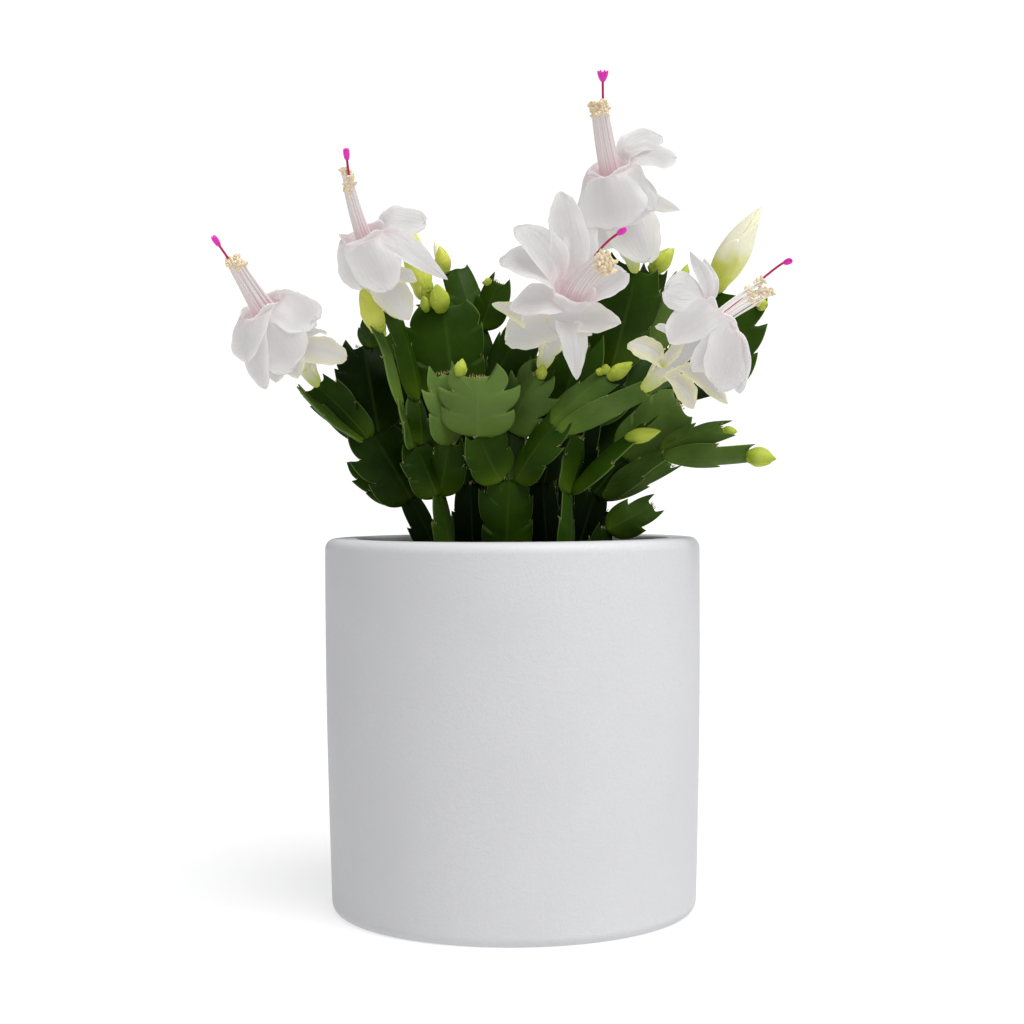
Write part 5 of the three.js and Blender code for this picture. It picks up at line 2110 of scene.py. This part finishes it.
        grain = new_primitive(bpy.ops.mesh.primitive_uv_sphere_add, segments=8, ring_count=6, radius=1)
        places = []
        for k, path in enumerate(paths[:-1]):
            ahead = unit(path[-1] - path[-2])
            for n in range(3):
                lean = turned(square_to(FRONT, ahead), ahead, 6.28 * draw(k + self.order * 13 + n * 5))
                centre = path[-1] + lean * 0.5 * n - ahead * 1.1 * n * draw(k + 31)
                places.append(placed(centre, unit(lean + ahead * 0.9 * draw(k + 3)), self.anther_size))
        tones = [draw(k + self.order) for k in range(len(places))]
        anthers = scatter(self.plan.name + "_anthers", grain, places, tones)
        finish_piece(anthers, palette.anther, Slot.STAMEN)

    def pistil(self, palette: Palette) -> None:
        """Makes the style and the lobes of its stigma.

        Args:
            palette: The finishes.
        """
        straight, spread = self.plan.sheaf.straight, self.plan.lobe_spread
        points, _ = self.column(np.linspace(0.05, 0.95, self.style_rows), self.stigma, straight)
        radii = np.full((1, self.style_rows), self.style_radius)
        style = threads(self.plan.name + "_style", points[None], radii, 10)
        finish_piece(style, palette.style, Slot.PISTIL, self.plan.name + "_pistil")

        ball = {"segments": 10, "ring_count": 8, "radius": 1, "location": (0, 0, 0.9)}
        lobe = new_primitive(bpy.ops.mesh.primitive_uv_sphere_add, **ball)
        bpy.ops.object.transform_apply(location=True)
        centre, ahead = self.column(0.93, self.stigma, straight)
        size = np.array([0.64 - 0.7 * spread, 0.62, 2.3])
        places = []
        for k in range(self.lobes):
            side = turned(square_to(FRONT, ahead), ahead, k * math.tau / self.lobes)
            lean = unit(ahead + side * (spread + 0.06 * draw(k + self.order * 7)))
            places.append(placed(centre + side * 0.5, lean, size))
        tones = [draw(k + 2) for k in range(self.lobes)]
        stigma = scatter(self.plan.name + "_stigma", lobe, places, tones)
        finish_piece(stigma, palette.stigma, Slot.PISTIL)


@dataclass
class Studio:
    """The camera, the pale floor, the white surroundings and the soft lights."""

    sky: tuple[float, float, float, float] = (0.97, 0.98, 1.0, 1)
    sky_strength: float = 0.34
    dome_radius: float = 5.5
    dome_glow: float = 1.1
    floor_size: float = 12.0
    sun: float = 3.5
    sun_spread: float = 45.0
    sun_from: tuple[float, float, float] = (0.3, -0.36, 0.86)
    film: float = 36.0

    def build(self) -> None:
        """Sets up everything that isn't the plant."""
        self.camera()
        self.floor()
        self.surroundings()
        self.lights()

    def camera(self) -> None:
        """The camera, which looks along +Y from in front of the pot, rolled by a third of a degree."""
        data = bpy.data.cameras.new("camera")
        data.sensor_width = self.film
        data.lens = EYE.lens
        data.shift_y = (EYE.horizon_row - EYE.image_size / 2) / EYE.image_size
        camera = bpy.data.objects.new("camera", data)
        right = Vector((math.cos(EYE.roll), 0, -math.sin(EYE.roll)))
        up = Vector((math.sin(EYE.roll), 0, math.cos(EYE.roll)))
        turn = Matrix((right, up, Vector((0, -1, 0)))).transposed()
        camera.matrix_world = turn.to_4x4()
        camera.location = (0, -EYE.distance * MM, EYE.height * MM)
        bpy.context.scene.collection.objects.link(camera)
        bpy.context.scene.camera = camera

    def floor(self) -> None:
        """A wide pale floor."""
        floor = new_primitive(bpy.ops.mesh.primitive_plane_add, size=self.floor_size)
        floor.name = "studio_floor"
        floor.data.materials.append(FloorFinish().material())

    def surroundings(self) -> None:
        """Even white light all round, and a white dome behind everything that casts no light."""
        world = bpy.data.worlds.new("soft_white")
        world.use_nodes = True
        background = world.node_tree.nodes["Background"]
        background.inputs["Color"].default_value = self.sky
        background.inputs["Strength"].default_value = self.sky_strength
        bpy.context.scene.world = world
        ball = {"segments": 48, "ring_count": 24, "radius": self.dome_radius}
        dome = new_primitive(bpy.ops.mesh.primitive_uv_sphere_add, **ball)
        dome.name = "studio_dome"
        g = Graph("white_dome")
        shine = g.add("ShaderNodeEmission", {"Color": (1, 1, 1), "Strength": self.dome_glow})
        g.add("ShaderNodeOutputMaterial", {0: shine.outputs[0]})
        dome.data.materials.append(g.material)
        dome.visible_diffuse = False
        dome.visible_glossy = False
        dome.visible_transmission = False
        dome.visible_shadow = False

    def lights(self) -> None:
        """One wide soft key from above, in front and to the right."""
        data = bpy.data.lights.new("key", "SUN")
        data.energy = self.sun
        data.angle = math.radians(self.sun_spread)
        key = bpy.data.objects.new("key", data)
        key.rotation_euler = Vector(self.sun_from).to_track_quat("Z", "Y").to_euler()
        bpy.context.scene.collection.objects.link(key)


def build_buds(segments: dict[str, Segment], blade: Blade, palette: Palette) -> None:
    """Makes the large buds, one piece each, and the young buds, one piece for each stem.

    Args:
        segments: The plant's segments by name.
        blade: The master.
        palette: The finishes.
    """
    for k, (name, segment, seat, x, z, y, radius) in enumerate(BUDS):
        tip = EYE.sighted(x, z, y)
        bud = Bud(segments[segment].socket(seat, tip), tip, radius, k + 1, RIPE.get(name, 0.0))
        finish_piece(joined(name + "_tepals", bud.build(blade)), palette.bud, Slot.BUD, name)
    for stem in STEMS:
        names = {row[0] for row in stem.rows}
        parts = []
        for k, (segment, seat, x, z, y, radius) in enumerate(YOUNG_BUDS):
            if segment in names:
                foot = segments[segment].at(YOUNG_PLACE, seat * YOUNG_SPREAD)
                bud = Bud(foot, EYE.sighted(x, z, y), radius, k + 31, RIPE.get(segment, 0.0), tepals=4)
                parts += bud.build(blade)
        if parts:
            finish_piece(joined(stem.name + "_young_buds", parts), palette.bud, Slot.BUD)


def main() -> None:
    """Builds the studio and the plant in order."""
    logging.basicConfig(level=logging.INFO, format="%(name)s %(message)s")
    palette = Palette()
    Studio().build()
    Pot().build(palette)
    soil = Soil()
    soil.build(palette)
    segments = grow(soil)
    skin_blade = Blade("segment_master", sides=32, rings=46, fullness=0.42)
    for plan in STEMS:
        Stem(plan, segments, soil).build(skin_blade, palette)
    skin_blade.clear()
    petal_blade = Blade("petal_master", sides=28, rings=28, fullness=0.6)
    for k, plan in enumerate(BLOOMS):
        Bloom(plan, segments, k + 1).build(petal_blade, palette)
    petal_blade.clear()
    bud_blade = Blade("bud_master", sides=24, rings=22, fullness=0.6)
    build_buds(segments, bud_blade, palette)
    bud_blade.clear()
    bpy.context.scene.view_settings.view_transform = "Standard"


if __name__ == "__main__":
    main()
